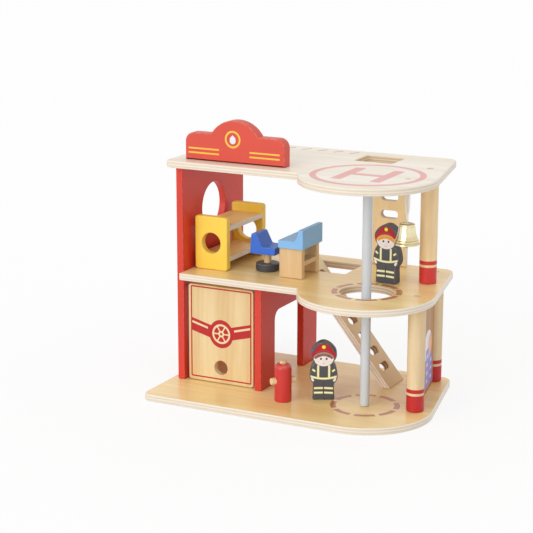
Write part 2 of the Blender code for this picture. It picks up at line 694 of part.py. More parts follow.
def build_lower_ladder(root):
    """Builds the slanted ladder board from the base up through the middle floor."""
    uphill = Vector((-math.cos(LOWER_LADDER_SLOPE), math.sin(LOWER_LADDER_SLOPE)))
    facing = Vector((math.sin(LOWER_LADDER_SLOPE), math.cos(LOWER_LADDER_SLOPE)))
    foot = Vector((LOWER_LADDER_FOOT_X, BASE_TOP + FIT_GAP))
    heel = foot - Vector((LADDER_HEEL_LENGTH, 0))
    head = foot + uphill * LOWER_LADDER_LENGTH
    tail = head - facing * LADDER_THICKNESS
    side = [tuple(point) for point in (heel, foot, head, tail)]
    mesh = board_mesh("lower_ladder", [side], LADDER_WIDTH)
    ladder = add_object("lower_ladder", mesh, root, (0, STAIR_MIDDLE_Y, 0), STAND_IN_XZ, BIRCH)
    slots = []
    for index in range(LOWER_LADDER_SLOTS):
        along = LOWER_FIRST_SLOT + index * LOWER_SLOT_PITCH
        slots.append(oblong((0, along), LADDER_SLOT_LENGTH, LADDER_SLOT_HEIGHT))
    reach = LADDER_THICKNESS + 2 * CUT_OVERRUN
    work = bmesh.new()
    for slot in slots:
        piece = board_mesh("ladder_slot", [slot], reach)
        work.from_mesh(piece)
        bpy.data.meshes.remove(piece)
    slot_mesh = bpy.data.meshes.new("ladder_slots")
    work.to_mesh(slot_mesh)
    work.free()
    centre = foot - facing * (LADDER_THICKNESS / 2)
    cutter = add_object("ladder_slots", slot_mesh, root, (centre.x, STAIR_MIDDLE_Y, centre.y))
    columns = Matrix(((0, uphill.x, facing.x), (1, 0, 0), (0, uphill.y, facing.y)))
    cutter.rotation_euler = columns.to_euler()
    cut(ladder, cutter)


def build_sign(root):
    """Builds the arched sign board that stands on the roof."""
    centre = SIGN_LEFT_X + SIGN_WIDTH / 2
    bottom = ROOF_TOP + FIT_GAP
    shoulder = ROOF_TOP + SIGN_SHOULDER_HEIGHT
    rise = SIGN_PEAK_HEIGHT - SIGN_SHOULDER_HEIGHT
    radius = (SIGN_ARCH_HALF_CHORD**2 + rise**2) / (2 * rise)
    arch_centre = (centre, ROOF_TOP + SIGN_PEAK_HEIGHT - radius)
    half_sweep = math.asin(SIGN_ARCH_HALF_CHORD / radius)
    arch = arc(arch_centre, radius, math.pi / 2 - half_sweep, math.pi / 2 + half_sweep, 2 * ARC_STEPS)
    right = SIGN_LEFT_X + SIGN_WIDTH
    left = SIGN_LEFT_X
    right_shoulder = fillet((right, bottom), (right, shoulder), arch[0], SIGN_CORNER_RADIUS, ARC_STEPS)
    left_shoulder = fillet(arch[-1], (left, shoulder), (left, bottom), SIGN_CORNER_RADIUS, ARC_STEPS)
    right_valley = fillet((right, shoulder), arch[0], arch[1], SMALL_CORNER_RADIUS / 3)
    left_valley = fillet(arch[-2], arch[-1], (left, shoulder), SMALL_CORNER_RADIUS / 3)
    outline = [(left, bottom), (right, bottom)]
    outline += right_shoulder + right_valley + arch[1:-1] + left_valley + left_shoulder
    mesh = board_mesh("roof_sign", [outline], SIGN_THICKNESS)
    middle = SIGN_FRONT_Y + SIGN_THICKNESS / 2
    return add_object("roof_sign", mesh, root, (0, middle, 0), STAND_IN_XZ, RED_PAINT)


def build_garage_door(root, walls):
    """Builds the up-and-over door on its two pins; its origin lies on the hinge axis."""
    axis_z = BASE_TOP + DOOR_FLOOR_CLEARANCE + DOOR_HEIGHT - DOOR_PIVOT_BELOW_TOP
    axis_y = DOOR_FRONT_Y + DOOR_THICKNESS / 2
    centre_x = WALL_THICKNESS + GARAGE_CLEAR_WIDTH / 2
    pivot = place_empty("garage_door_pivot", (centre_x, axis_y, axis_z), root)
    left = -DOOR_WIDTH / 2
    bottom = DOOR_PIVOT_BELOW_TOP - DOOR_HEIGHT
    outline = rounded_rectangle(left, bottom, DOOR_WIDTH, DOOR_HEIGHT, DOOR_CORNER_RADIUS)
    hole = circle((0, bottom + FINGER_HOLE_HEIGHT), FINGER_HOLE_RADIUS)
    mesh = board_mesh("garage_door", [outline, hole], DOOR_THICKNESS)
    door = add_object("garage_door", mesh, pivot, (0, 0, 0), STAND_IN_XZ, PINE)
    outer = GARAGE_CLEAR_WIDTH / 2 + DOOR_PIN_IN_WALL
    inner = DOOR_WIDTH / 2 - DOOR_PIN_IN_DOOR
    spans = {
        "door_pin_left": ((-outer, 0, 0), (-inner, 0, 0)),
        "door_pin_right": ((inner, 0, 0), (outer, 0, 0)),
    }
    add_rods(spans, DOOR_PIN_DIAMETER, pivot, STEEL)
    targets = [door, walls["wall"], walls["garage"]]
    bore(targets, "door_pin_bores", list(spans.values()), DOOR_PIN_DIAMETER, pivot)


def upright_span(x, y, face, below, above):
    """Returns the span of an upright dowel that crosses a level face."""
    return ((x, y, face - below), (x, y, face + above))


def build_dowels(root, decks, walls, sign):
    """Builds the glued dowels between the boards, with their bores."""
    front = END_FASTENER_INSET
    rear = WALL_LENGTH - END_FASTENER_INSET
    wall_x = WALL_THICKNESS / 2
    middle = FLOOR_UNDERSIDE + DECK_THICKNESS / 2
    start = WALL_THICKNESS - DOWEL_IN_DECK
    end = WALL_THICKNESS + DOWEL_IN_BOARD
    floor_spans = {
        "floor_dowel_front": ((start, front, middle), (end, front, middle)),
        "floor_dowel_rear": ((start, rear, middle), (end, rear, middle)),
    }
    roof_spans = {
        "roof_dowel_front": upright_span(wall_x, front, ROOF_UNDERSIDE, DOWEL_IN_BOARD, DOWEL_IN_DECK),
        "roof_dowel_rear": upright_span(wall_x, rear, ROOF_UNDERSIDE, DOWEL_IN_BOARD, DOWEL_IN_DECK),
    }
    sign_y = SIGN_FRONT_Y + SIGN_THICKNESS / 2
    left = SIGN_LEFT_X + END_FASTENER_INSET
    right = SIGN_LEFT_X + SIGN_WIDTH - END_FASTENER_INSET
    sign_spans = {
        "sign_dowel_left": upright_span(left, sign_y, ROOF_TOP, DOWEL_IN_DECK, DOWEL_IN_BOARD),
        "sign_dowel_right": upright_span(right, sign_y, ROOF_TOP, DOWEL_IN_DECK, DOWEL_IN_BOARD),
    }
    groups = (
        ("floor_dowel_bores", floor_spans, (decks["floor"], walls["wall"])),
        ("roof_dowel_bores", roof_spans, (decks["roof"], walls["wall"])),
        ("sign_dowel_bores", sign_spans, (decks["roof"], sign)),
    )
    for name, spans, targets in groups:
        add_rods(spans, DOWEL_DIAMETER, root, PINE)
        bore(targets, name, list(spans.values()), DOWEL_DIAMETER, root)


def screw_mesh(name, grow=0.0):
    """Returns one countersunk screw with its head's face at zero and its tip upwards."""
    head = SCREW_HEAD_DIAMETER / 2 + grow
    shank = SCREW_SHANK_DIAMETER / 2 + grow
    tip = SCREW_LENGTH + grow
    profile = ((0, tip), (shank, tip), (shank, SCREW_HEAD_HEIGHT), (head, -grow), (0, -grow))
    return turned_mesh(name, profile, SMALL_ROUND_SIDES)


def add_screws(screws, root, holes_name, targets):
    """Builds screws from named (head centre, direction) pairs and cuts their holes."""
    single = screw_mesh(holes_name + "_single", FIT_GAP)
    work = bmesh.new()
    for name, (place, direction) in screws.items():
        turn = (0 if direction > 0 else math.pi, 0, 0)
        add_object(name, screw_mesh(name), root, place, turn, STEEL)
        piece = single.copy()
        piece.transform(Matrix.Translation(place) @ Matrix.Rotation(turn[0], 4, "X"))
        work.from_mesh(piece)
        bpy.data.meshes.remove(piece)
    mesh = bpy.data.meshes.new(holes_name)
    work.to_mesh(mesh)
    work.free()
    cutter = add_object(holes_name, mesh, root)
    for target in targets:
        cut(target, cutter)


def build_screws(root, decks, walls, posts):
    """Builds the screws under the base, the post screws and the plugs that cover them."""
    wall_x = WALL_THICKNESS / 2
    garage_x = GARAGE_WALL_X + GARAGE_WALL_THICKNESS / 2
    head = FIT_GAP
    front = slant_point(FRONT_POST_ALONG)
    back = slant_point(BACK_POST_ALONG)
    upper = slant_point(UPPER_POST_ALONG)
    base_screws = {
        "screw_left_wall_front": (Vector((wall_x, END_FASTENER_INSET, head)), 1),
        "screw_left_wall_rear": (Vector((wall_x, WALL_LENGTH - END_FASTENER_INSET, head)), 1),
        "screw_garage_wall_front": (Vector((garage_x, GARAGE_FRONT_LEG / 2, head)), 1),
        "screw_garage_wall_rear": (Vector((garage_x, WALL_LENGTH - GARAGE_REAR_LEG / 2, head)), 1),
        "screw_front_post_foot": (front + Vector((0, 0, head)), 1),
        "screw_back_post_foot": (back + Vector((0, 0, head)), 1),
        "screw_pole_foot": (POLE_CENTRE + Vector((0, 0, head)), 1),
    }
    targets = (decks["base"], walls["wall"], walls["garage"], posts["front"], posts["back"], posts["pole"])
    add_screws(base_screws, root, "base_screw_holes", targets)

    drop = PLUG_LENGTH + FIT_GAP
    floor_well = FLOOR_TOP - drop
    roof_well = ROOF_TOP - drop
    post_screws = {
        "screw_front_post_top": (front + Vector((0, 0, floor_well)), -1),
        "screw_back_post_top": (back + Vector((0, 0, floor_well)), -1),
        "screw_upper_post_top": (upper + Vector((0, 0, roof_well)), -1),
        "screw_upper_post_foot": (upper + Vector((0, 0, FLOOR_UNDERSIDE + head)), 1),
    }
    targets = (decks["floor"], decks["roof"], posts["front"], posts["back"], posts["upper"])
    add_screws(post_screws, root, "post_screw_holes", targets)

    lift = Vector((0, 0, FIT_GAP))
    rise = Vector((0, 0, PLUG_LENGTH))
    wells = {
        "plug_front_post": front + Vector((0, 0, floor_well)),
        "plug_back_post": back + Vector((0, 0, floor_well)),
        "plug_upper_post": upper + Vector((0, 0, roof_well)),
    }
    plugs = {name: (place + lift, place + rise) for name, place in wells.items()}
    add_rods(plugs, PLUG_DIAMETER, root, PINE)
    over = Vector((0, 0, CUT_OVERRUN))
    spans = [(place + lift, place + rise + over) for place in wells.values()]
    bore([decks["floor"], decks["roof"]], "post_plug_wells", spans, PLUG_DIAMETER, root)


def tube_mesh(name, points, radius):
    """Returns a closed round tube along a list of points."""
    curve = bpy.data.curves.new(name, "CURVE")
    curve.dimensions = "3D"
    curve.bevel_depth = radius
    curve.bevel_resolution = 2
    curve.use_fill_caps = True
    spline = curve.splines.new("POLY")
    spline.points.add(len(points) - 1)
    for point, place in zip(spline.points, points):
        point.co = (*place, 1)
    return mesh_from_curve(curve)


def build_bell(root, roof):
    """Builds the bell, its clapper, its looped string and the peg that holds the string."""
    peg_span = ((BELL_X, BELL_Y, ROOF_UNDERSIDE), (BELL_X, BELL_Y, ROOF_TOP - FIT_GAP))
    add_rods({"bell_peg": peg_span}, BELL_PEG_DIAMETER, root, PINE)
    top_z = ROOF_UNDERSIDE - STRING_TOP_GAP
    peg_hole = ((BELL_X, BELL_Y, ROOF_UNDERSIDE - CUT_OVERRUN), (BELL_X, BELL_Y, ROOF_TOP + CUT_OVERRUN))
    bore([roof], "bell_peg_hole", [peg_hole], BELL_PEG_DIAMETER, root)

    pivot = place_empty("bell_pivot", (BELL_X, BELL_Y, top_z), root)
    crown = STRING_TOP_GAP - BELL_CROWN_DROP
    rim = crown - BELL_HEIGHT
    outer = [(BELL_RIM_RADIUS * radius, crown - BELL_HEIGHT * drop) for radius, drop in BELL_SIDE_SHARES]
    inner = [(radius - BELL_WALL, height) for radius, height in reversed(outer[1:])]
    inner.append((outer[0][0] - BELL_WALL, crown - BELL_WALL))
    hole = [(BELL_HOLE_RADIUS, crown - BELL_WALL), (BELL_HOLE_RADIUS, crown)]
    profile = hole[1:] + outer + inner + hole
    add_object("bell_cup", turned_mesh("bell_cup", profile, 24), pivot, finish=BRASS)

    half = STRING_STRAND_SPACING / 2
    knot = crown + STRING_KNOT_ABOVE_CROWN
    loop = [(-half, 0, 0), (-half, 0, crown / 3), (-half, 0, crown * 2 / 3), (-half, 0, knot + half * 2)]
    bend = [(-half / 2, 0, knot + half / 2), (0, 0, knot), (half / 2, 0, knot + half / 2)]
    back = [(-x, y, z) for x, y, z in reversed(loop)]
    string_mesh = tube_mesh("bell_string", loop + bend + back, STRING_DIAMETER / 2)
    string = add_object("bell_string", string_mesh, pivot, finish=COTTON)
    end = crown - BELL_WALL - STRING_IN_BELL
    tail_mesh = rods_mesh("string_tail", [((0, 0, knot), (0, 0, end))], STRING_DIAMETER / 2, sides=8)
    tail = add_object("string_tail", tail_mesh, pivot)
    knot_work = bmesh.new()
    bmesh.ops.create_uvsphere(
        knot_work,
        u_segments=10,
        v_segments=6,
        radius=STRING_KNOT_RADIUS,
        matrix=Matrix.Translation((0, 0, knot)),
    )
    knot_mesh = bpy.data.meshes.new("string_knot")
    knot_work.to_mesh(knot_mesh)
    knot_work.free()
    knot_ball = add_object("string_knot", knot_mesh, pivot)
    for piece in (knot_ball, tail):
        join = string.modifiers.new(piece.name, "BOOLEAN")
        join.operation = "UNION"
        join.solver = "EXACT"
        join.object = piece

    clapper_top = end - CLAPPER_TOP_GAP
    swing = place_empty("clapper_pivot", (0, 0, clapper_top), pivot)
    ball = rim - CLAPPER_BELOW_RIM - clapper_top + CLAPPER_BALL_RADIUS
    rod = CLAPPER_ROD_DIAMETER / 2
    meet = ball + math.sqrt(CLAPPER_BALL_RADIUS**2 - rod**2)
    start = math.asin(rod / CLAPPER_BALL_RADIUS)
    steps = SMALL_ROUND_SIDES // 2
    profile = [(0, 0), (rod, 0), (rod, meet)]
    for index in range(1, steps + 1):
        angle = start + (math.pi - start) * index / steps
        profile.append((CLAPPER_BALL_RADIUS * math.sin(angle), ball + CLAPPER_BALL_RADIUS * math.cos(angle)))
    profile[-1] = (0, ball - CLAPPER_BALL_RADIUS)
    add_object("bell_clapper", turned_mesh("bell_clapper", profile, SMALL_ROUND_SIDES), swing, finish=BRASS)


def build_bunk(root):
    """Builds the two-berth bunk; its origin is its front left corner on the middle floor."""
    origin = place_empty("bunk_place", (BUNK_LEFT_X, BUNK_FRONT_Y, FLOOR_TOP + FIT_GAP), root)
    outline = rounded_rectangle(0, 0, BUNK_WIDTH, BUNK_PANEL_HEIGHT, BUNK_CORNER_RADIUS)
    hole = circle((BUNK_WIDTH / 2, BUNK_PANEL_HEIGHT / 2), BUNK_HOLE_RADIUS)
    half = BUNK_PANEL_THICKNESS / 2
    panels = []
    for name, depth in (("bunk_front_panel", half), ("bunk_back_panel", BUNK_LENGTH - half)):
        mesh = board_mesh(name, [outline, hole], BUNK_PANEL_THICKNESS)
        panels.append(add_object(name, mesh, origin, (0, depth, 0), STAND_IN_XZ, YELLOW_PAINT))
    start = BUNK_PANEL_THICKNESS - BUNK_DADO_DEPTH
    end = BUNK_LENGTH - start
    heights = (("bunk_lower_shelf", BUNK_LOWER_SHELF_HEIGHT), ("bunk_upper_shelf", BUNK_UPPER_SHELF_HEIGHT))
    for name, height in heights:
        top = height + BUNK_SHELF_THICKNESS
        mesh = box_mesh(name, (0, start + FIT_GAP, height), (BUNK_WIDTH, end - FIT_GAP, top))
        add_object(name, mesh, origin, finish=BIRCH)
        low = (-CUT_OVERRUN, start, height - FIT_GAP)
        high = (BUNK_WIDTH + CUT_OVERRUN, end, top + FIT_GAP)
        dado = add_object(name + "_dado", box_mesh(name + "_dado", low, high), origin)
        for panel in panels:
            cut(panel, dado)


def build_chair(root):
    """Builds the chair: a shaped seat on a stem in a heavy round base."""
    origin = place_empty("chair_place", (CHAIR_X, CHAIR_Y, FLOOR_TOP + FIT_GAP), root)
    rounding = CHAIR_BASE_ROUNDING
    radius = CHAIR_BASE_RADIUS
    socket = CHAIR_BASE_HEIGHT - CHAIR_STEM_SOCKET
    bore_radius = CHAIR_STEM_DIAMETER / 2 + FIT_GAP
    profile = (
        (bore_radius, CHAIR_BASE_HEIGHT),
        (radius - rounding, CHAIR_BASE_HEIGHT),
        (radius, CHAIR_BASE_HEIGHT - rounding),
        (radius, rounding),
        (radius - rounding, 0),
        (0, 0),
    )
    well = ((0, socket), (bore_radius, socket), (bore_radius, CHAIR_BASE_HEIGHT))
    base_profile = profile + well
    add_object("chair_base", turned_mesh("chair_base", base_profile), origin, finish=CHARCOAL_PAINT)
    stem_top = CHAIR_SEAT_HEIGHT + CHAIR_STEM_SOCKET
    span = [((0, 0, socket + FIT_GAP), (0, 0, stem_top))]
    mesh = rods_mesh("chair_stem", span, CHAIR_STEM_DIAMETER / 2, sides=24)
    add_object("chair_stem", mesh, origin, finish=PINE)
    rear = -CHAIR_SEAT_LENGTH / 2
    front = CHAIR_SEAT_LENGTH / 2
    bottom = CHAIR_SEAT_HEIGHT
    seat_top = bottom + CHAIR_SEAT_THICKNESS
    back_top = bottom + CHAIR_BACK_HEIGHT
    outline = rounded_outline(
        (
            (rear, bottom, 0),
            (front, bottom, 0),
            (front, seat_top, 0),
            (rear + CHAIR_BACK_FOOT_LENGTH, seat_top, CHAIR_EDGE_RADIUS),
            (rear + CHAIR_BACK_LEAN + CHAIR_BACK_TOP_LENGTH, back_top, 0),
            (rear + CHAIR_BACK_LEAN, back_top, 0),
        )
    )
    mesh = board_mesh("chair_seat", [outline], CHAIR_SEAT_WIDTH)
    seat = add_object("chair_seat", mesh, origin, (0, 0, 0), STAND_IN_XZ, BLUE_PAINT)
    bore([seat], "chair_stem_bore", span, CHAIR_STEM_DIAMETER, origin, 24)


def desk_top_outline():
    """Returns the side shape of the desk top: a low front, a hollow curve and a high shelf."""
    low = DESK_TOP_HEIGHT + DESK_LOW_THICKNESS
    high = DESK_TOP_HEIGHT + DESK_HIGH_THICKNESS
    ledge = DESK_TOP_WIDTH - DESK_LEDGE_WIDTH
    start = ledge - DESK_CURVE_WIDTH
    rise = high - low
    hollow = [
        (start + DESK_CURVE_WIDTH * math.sin(angle), low + rise * (1 - math.cos(angle)))
        for angle in [math.pi / 2 * index / ARC_STEPS for index in range(ARC_STEPS + 1)]
    ]
    front = [(0, low), (0, DESK_TOP_HEIGHT)]
    rear = [(DESK_TOP_WIDTH, DESK_TOP_HEIGHT), (DESK_TOP_WIDTH, high)]
    return front + rear + hollow[::-1]


def build_desk(root):
    """Builds the desk: a shaped top on two end panels with a shelf between them."""
    origin = place_empty("desk_place", (DESK_LEFT_X, DESK_FRONT_Y, FLOOR_TOP + FIT_GAP), root)
    mesh = board_mesh("desk_top", [desk_top_outline()], DESK_TOP_DEPTH)
    add_object("desk_top", mesh, origin, (0, DESK_TOP_DEPTH / 2, 0), STAND_IN_XZ, SKY_PAINT)
    left = DESK_BODY_LEFT_INSET
    right = DESK_TOP_WIDTH - DESK_BODY_RIGHT_INSET
    height = DESK_TOP_HEIGHT - FIT_GAP
    front = DESK_END_INSET
    back = DESK_TOP_DEPTH - DESK_END_INSET
    rows = (("desk_front_panel", front), ("desk_back_panel", back - DESK_PANEL_THICKNESS))
    panels = []
    for name, depth in rows:
        mesh = box_mesh(name, (left, depth, 0), (right, depth + DESK_PANEL_THICKNESS, height))
        panels.append(add_object(name, mesh, origin, finish=PINE))
    start = front + DESK_PANEL_THICKNESS - DESK_DADO_DEPTH
    end = back - DESK_PANEL_THICKNESS + DESK_DADO_DEPTH
    shelf_top = DESK_SHELF_HEIGHT + DESK_SHELF_THICKNESS
    low = (left, start + FIT_GAP, DESK_SHELF_HEIGHT)
    high = (right, end - FIT_GAP, shelf_top)
    mesh = box_mesh("desk_shelf", low, high)
    add_object("desk_shelf", mesh, origin, finish=PINE)
    low = (left - CUT_OVERRUN, start, DESK_SHELF_HEIGHT - FIT_GAP)
    high = (right + CUT_OVERRUN, end, shelf_top + FIT_GAP)
    dado = add_object("desk_shelf_dado", box_mesh("desk_shelf_dado", low, high), origin)
    for panel in panels:
        cut(panel, dado)


def build_hydrant(root):
    """Builds the turned hydrant with its cap and the cross peg through its body."""
    origin = place_empty("hydrant_place", (HYDRANT_X, HYDRANT_Y, BASE_TOP + FIT_GAP), root, HYDRANT_TURN)
    shoulder = HYDRANT_HEIGHT - HYDRANT_DOME_HEIGHT
    neck = HYDRANT_CAP_DIAMETER / 2 + FIT_GAP
    socket = HYDRANT_HEIGHT - HYDRANT_CAP_SOCKET
    dome = []
    for index in range(ARC_STEPS + 1):
        angle = math.pi / 2 * index / ARC_STEPS
        radius = neck + (HYDRANT_RADIUS - neck) * math.sin(angle)
        dome.append((radius, shoulder + HYDRANT_DOME_HEIGHT * math.cos(angle)))
    foot = HYDRANT_FOOT_ROUNDING
    profile = dome + [(HYDRANT_RADIUS, foot), (HYDRANT_RADIUS - foot, 0), (0, 0), (0, socket), (neck, socket)]
    profile.append(dome[0])
    body = add_object("hydrant_body", turned_mesh("hydrant_body", profile), origin, finish=HYDRANT_PAINT)
    cap_top = HYDRANT_HEIGHT + HYDRANT_CAP_HEIGHT
    cap_span = [((0, 0, socket + FIT_GAP), (0, 0, cap_top))]
    mesh = rods_mesh("hydrant_cap", cap_span, HYDRANT_CAP_DIAMETER / 2, sides=24)
    add_object("hydrant_cap", mesh, origin, finish=PINE)
    half = HYDRANT_PEG_LENGTH / 2
    peg_span = [((-half, 0, HYDRANT_PEG_HEIGHT), (half, 0, HYDRANT_PEG_HEIGHT))]
    mesh = rods_mesh("hydrant_peg", peg_span, HYDRANT_PEG_DIAMETER / 2, sides=24)
    add_object("hydrant_peg", mesh, origin, finish=PINE)
    bore([body], "hydrant_peg_bore", peg_span, HYDRANT_PEG_DIAMETER, origin, 24)


def figure_mesh(name):
    """Returns a flat figure with a rounded hood, arms and straight legs."""
    curve = bpy.data.curves.new(name, "CURVE")
    curve.dimensions = "2D"
    curve.fill_mode = "BOTH"
    curve.extrude = FIGURE_THICKNESS / 2
    curve.resolution_u = 3
    right = [(x * FIGURE_HALF_WIDTH, z * FIGURE_HEIGHT) for x, z in FIGURE_OUTLINE_SHARES]
    left = [(-x, z) for x, z in reversed(right)]
    outline = right + [(0, FIGURE_HEIGHT)] + left
    spline = curve.splines.new("BEZIER")
    spline.bezier_points.add(len(outline) - 1)
    last = len(outline) - 1
    for index, (point, (x, z)) in enumerate(zip(spline.bezier_points, outline)):
        point.co = (x, z, 0)
        corner = index in (0, last)
        point.handle_left_type = "VECTOR" if corner else "AUTO"
        point.handle_right_type = "VECTOR" if corner else "AUTO"
    spline.use_cyclic_u = True
    return mesh_from_curve(curve)


def build_figures(root):
    """Builds the two flat wooden firefighters, one on each level."""
    rows = (
        ("figure_lower", LOWER_FIGURE_X, LOWER_FIGURE_Y, BASE_TOP, LOWER_FIGURE_TURN),
        ("figure_upper", UPPER_FIGURE_X, UPPER_FIGURE_Y, FLOOR_TOP, UPPER_FIGURE_TURN),
    )
    for name, x, y, floor, turn in rows:
        origin = place_empty(name + "_place", (x, y, floor + FIT_GAP), root, turn)
        add_object(name, figure_mesh(name), origin, (0, 0, 0), STAND_IN_XZ, CHARCOAL_PAINT)


def build_station():
    """Builds the whole station under one empty that centres it on the world origin."""
    root = place_empty("station_origin", -STATION_CENTRE)
    decks = build_decks(root)
    walls = build_walls(root)
    posts = build_uprights(root)
    build_upper_ladder(root)
    build_lower_ladder(root)
    sign = build_sign(root)
    build_garage_door(root, walls)
    build_dowels(root, decks, walls, sign)
    build_screws(root, decks, walls, posts)
    build_bell(root, decks["roof"])
    build_bunk(root)
    build_chair(root)
    build_desk(root)
    build_hydrant(root)
    build_figures(root)


clear_scene()
STATION = make_collection("toy_fire_station")
CUTTERS = make_collection("cutters", hidden=True)
build_station()
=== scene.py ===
"""Looks of a wooden toy fire station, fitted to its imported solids.

Every board is an outline carried round a softly rounded edge profile, every round piece is a
profile turned about its axis, and every cord is a bundle of strands wound along a path.
"""

import logging
import math
from dataclasses import dataclass, fields, replace
from enum import Enum
from typing import ClassVar, Union

import bpy
import numpy as np
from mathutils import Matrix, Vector
from mathutils.geometry import tessellate_polygon

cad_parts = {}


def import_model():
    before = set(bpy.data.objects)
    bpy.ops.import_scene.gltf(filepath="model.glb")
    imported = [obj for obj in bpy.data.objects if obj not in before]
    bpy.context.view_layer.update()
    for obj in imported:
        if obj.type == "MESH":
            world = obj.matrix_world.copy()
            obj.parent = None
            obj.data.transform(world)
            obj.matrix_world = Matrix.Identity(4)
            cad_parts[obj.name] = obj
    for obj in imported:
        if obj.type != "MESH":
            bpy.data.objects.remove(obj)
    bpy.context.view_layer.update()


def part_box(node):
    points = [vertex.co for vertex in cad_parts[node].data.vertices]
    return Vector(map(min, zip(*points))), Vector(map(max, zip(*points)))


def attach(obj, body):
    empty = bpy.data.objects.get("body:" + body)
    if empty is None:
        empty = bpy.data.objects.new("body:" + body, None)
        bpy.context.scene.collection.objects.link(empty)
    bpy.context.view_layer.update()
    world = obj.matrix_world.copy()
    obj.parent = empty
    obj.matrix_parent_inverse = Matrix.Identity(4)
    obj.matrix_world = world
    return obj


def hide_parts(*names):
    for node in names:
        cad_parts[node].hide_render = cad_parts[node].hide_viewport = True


LOG = logging.getLogger("toy_fire_station")
SLANT = math.radians(11.5)
FIT = 0.0003
EDGE_LEAN = 0.93
ROWS = 5
WHOLE_TURN = 2 * math.pi
MASK_SLOPE = -5000.0
GRAIN_STEP = (0.37, 0.053, 0.029)
SHARP_ANGLE = math.radians(35)
BUMP_DISTANCE = 0.0004
SHELF_MARGIN = 0.00015
FLATTEN = (1.0, 1.0, 0.0)
UPRIGHT = ((1, 0, 0), (0, 1, 0), (0, 0, 1))
VECTOR_LABELS = ("Position", "Point", "Centre", "Half")

Colour = tuple[float, float, float]
Place = tuple[float, float]
Corner = tuple[float, float, float]
Array = np.ndarray
Socket = bpy.types.NodeSocket
Tree = bpy.types.NodeTree
Feed = Union[Socket, float, tuple, Vector]
Layers = tuple[Feed, Feed, Feed]


def srgb(red: int, green: int, blue: int) -> Colour:
    """Returns a display colour of 0 to 255 as linear shares.

    Args:
        red: Red, 0 to 255.
        green: Green, 0 to 255.
        blue: Blue, 0 to 255.

    Returns:
        The three linear shares.
    """
    shares = np.array((red, green, blue)) / 255
    low = shares / 12.92
    high = ((shares + 0.055) / 1.055) ** 2.4
    return tuple(float(v) for v in np.where(shares <= 0.04045, low, high))


def arc(centre: Place, radius: float, start: float, end: float, steps: int) -> Array:
    """Returns steps + 1 points: centre plus radius times the cosine and sine of even angles."""
    angles = np.linspace(start, end, steps + 1)
    return np.stack((centre[0] + radius * np.cos(angles), centre[1] + radius * np.sin(angles)), 1)


def circle(centre: Place, radius: float, steps: int = 96) -> Array:
    """Returns the points of a whole circle, without repeating the first."""
    return arc(centre, radius, 0, WHOLE_TURN, steps)[:-1]


def fillet(before: Place, corner: Place, after: Place, radius: float, steps: int = 6) -> Array:
    """Returns a rounded corner: the arc that touches both straight edges at the corner.

    Args:
        before: A point on the edge that arrives.
        corner: The sharp corner.
        after: A point on the edge that leaves.
        radius: Radius of the rounding.
        steps: Number of chords.

    Returns:
        An array of steps + 1 points.
    """
    corner = np.asarray(corner, float)
    first = np.asarray(before, float) - corner
    second = np.asarray(after, float) - corner
    first /= np.linalg.norm(first)
    second /= np.linalg.norm(second)
    half = math.acos(float(np.clip(first @ second, -1, 1))) / 2
    inward = (first + second) / np.linalg.norm(first + second)
    centre = corner + inward * (radius / math.sin(half))
    begin = corner + first * (radius / math.tan(half)) - centre
    finish = corner + second * (radius / math.tan(half)) - centre
    sweep = math.atan2(begin[0] * finish[1] - begin[1] * finish[0], float(begin @ finish))
    angle = math.atan2(begin[1], begin[0])
    return arc(tuple(centre), radius, angle, angle + sweep, steps)


def rounded(corners: list[tuple], steps: int = 6, closed: bool = True) -> Array:
    """Returns an outline from (x, y, radius) corners, each replaced by its rounding.

    Args:
        corners: The corners in order; a fourth item is that corner's own number of chords.
        steps: Chords in each other rounding.
        closed: False for a path that keeps its first and last point.

    Returns:
        The points of the outline.
    """
    parts = []
    last = len(corners) - 1
    for index, (x, y, radius, *own) in enumerate(corners):
        end = not closed and index in (0, last)
        if radius <= 0 or end:
            parts.append(np.array([[x, y]]))
            continue
        before = corners[index - 1][:2]
        after = corners[(index + 1) % len(corners)][:2]
        parts.append(fillet(before, (x, y), after, radius, *(own or [steps])))
    return np.concatenate(parts)


def rectangle(low: Place, high: Place, radius: float, steps: int = 6) -> Array:
    """Returns a rectangle with four equal round corners.

    Args:
        low: Corner with the smallest coordinates.
        high: Opposite corner.
        radius: Radius of the corners.
        steps: Chords for each corner.

    Returns:
        The closed outline.
    """
    (left, bottom), (right, top) = low, high
    corners = ((left, bottom), (right, bottom), (right, top), (left, top))
    return rounded([(x, y, radius) for x, y in corners], steps)


def oblong(centre: Place, length: float, height: float, steps: int = 14) -> Array:
    """Returns a slot with round ends, long along its first axis.

    Args:
        centre: Middle of the slot.
        length: Its whole length.
        height: Its height, twice the radius of its ends.
        steps: Chords in each end.

    Returns:
        The points of the slot.
    """
    half, quarter = (length - height) / 2, math.pi / 2
    right = arc((centre[0] + half, centre[1]), height / 2, -quarter, quarter, steps)
    left = arc((centre[0] - half, centre[1]), height / 2, quarter, 3 * quarter, steps)
    return np.concatenate((right, left))


def smooth_curve(points: Array, steps: int = 6) -> Array:
    """Returns a path through points by the Catmull-Rom rule, ends kept.

    Each span blends its four nearest points with the cubic weights of that rule.

    Args:
        points: Array of points in order, of two or three coordinates.
        steps: Points made for each span.

    Returns:
        The finer path.
    """
    padded = np.concatenate((2 * points[:1] - points[1:2], points, 2 * points[-1:] - points[-2:-1]))
    share = np.linspace(0, 1, steps, endpoint=False)[None, :, None]
    p0, p1, p2, p3 = (padded[k : len(padded) - 3 + k, None, :] for k in range(4))
    curve = 2 * p1 + (p2 - p0) * share
    curve = curve + (2 * p0 - 5 * p1 + 4 * p2 - p3) * share**2
    curve = (curve + (3 * p1 - p0 - 3 * p2 + p3) * share**3) / 2
    return np.concatenate((curve.reshape(-1, points.shape[1]), points[-1:]))


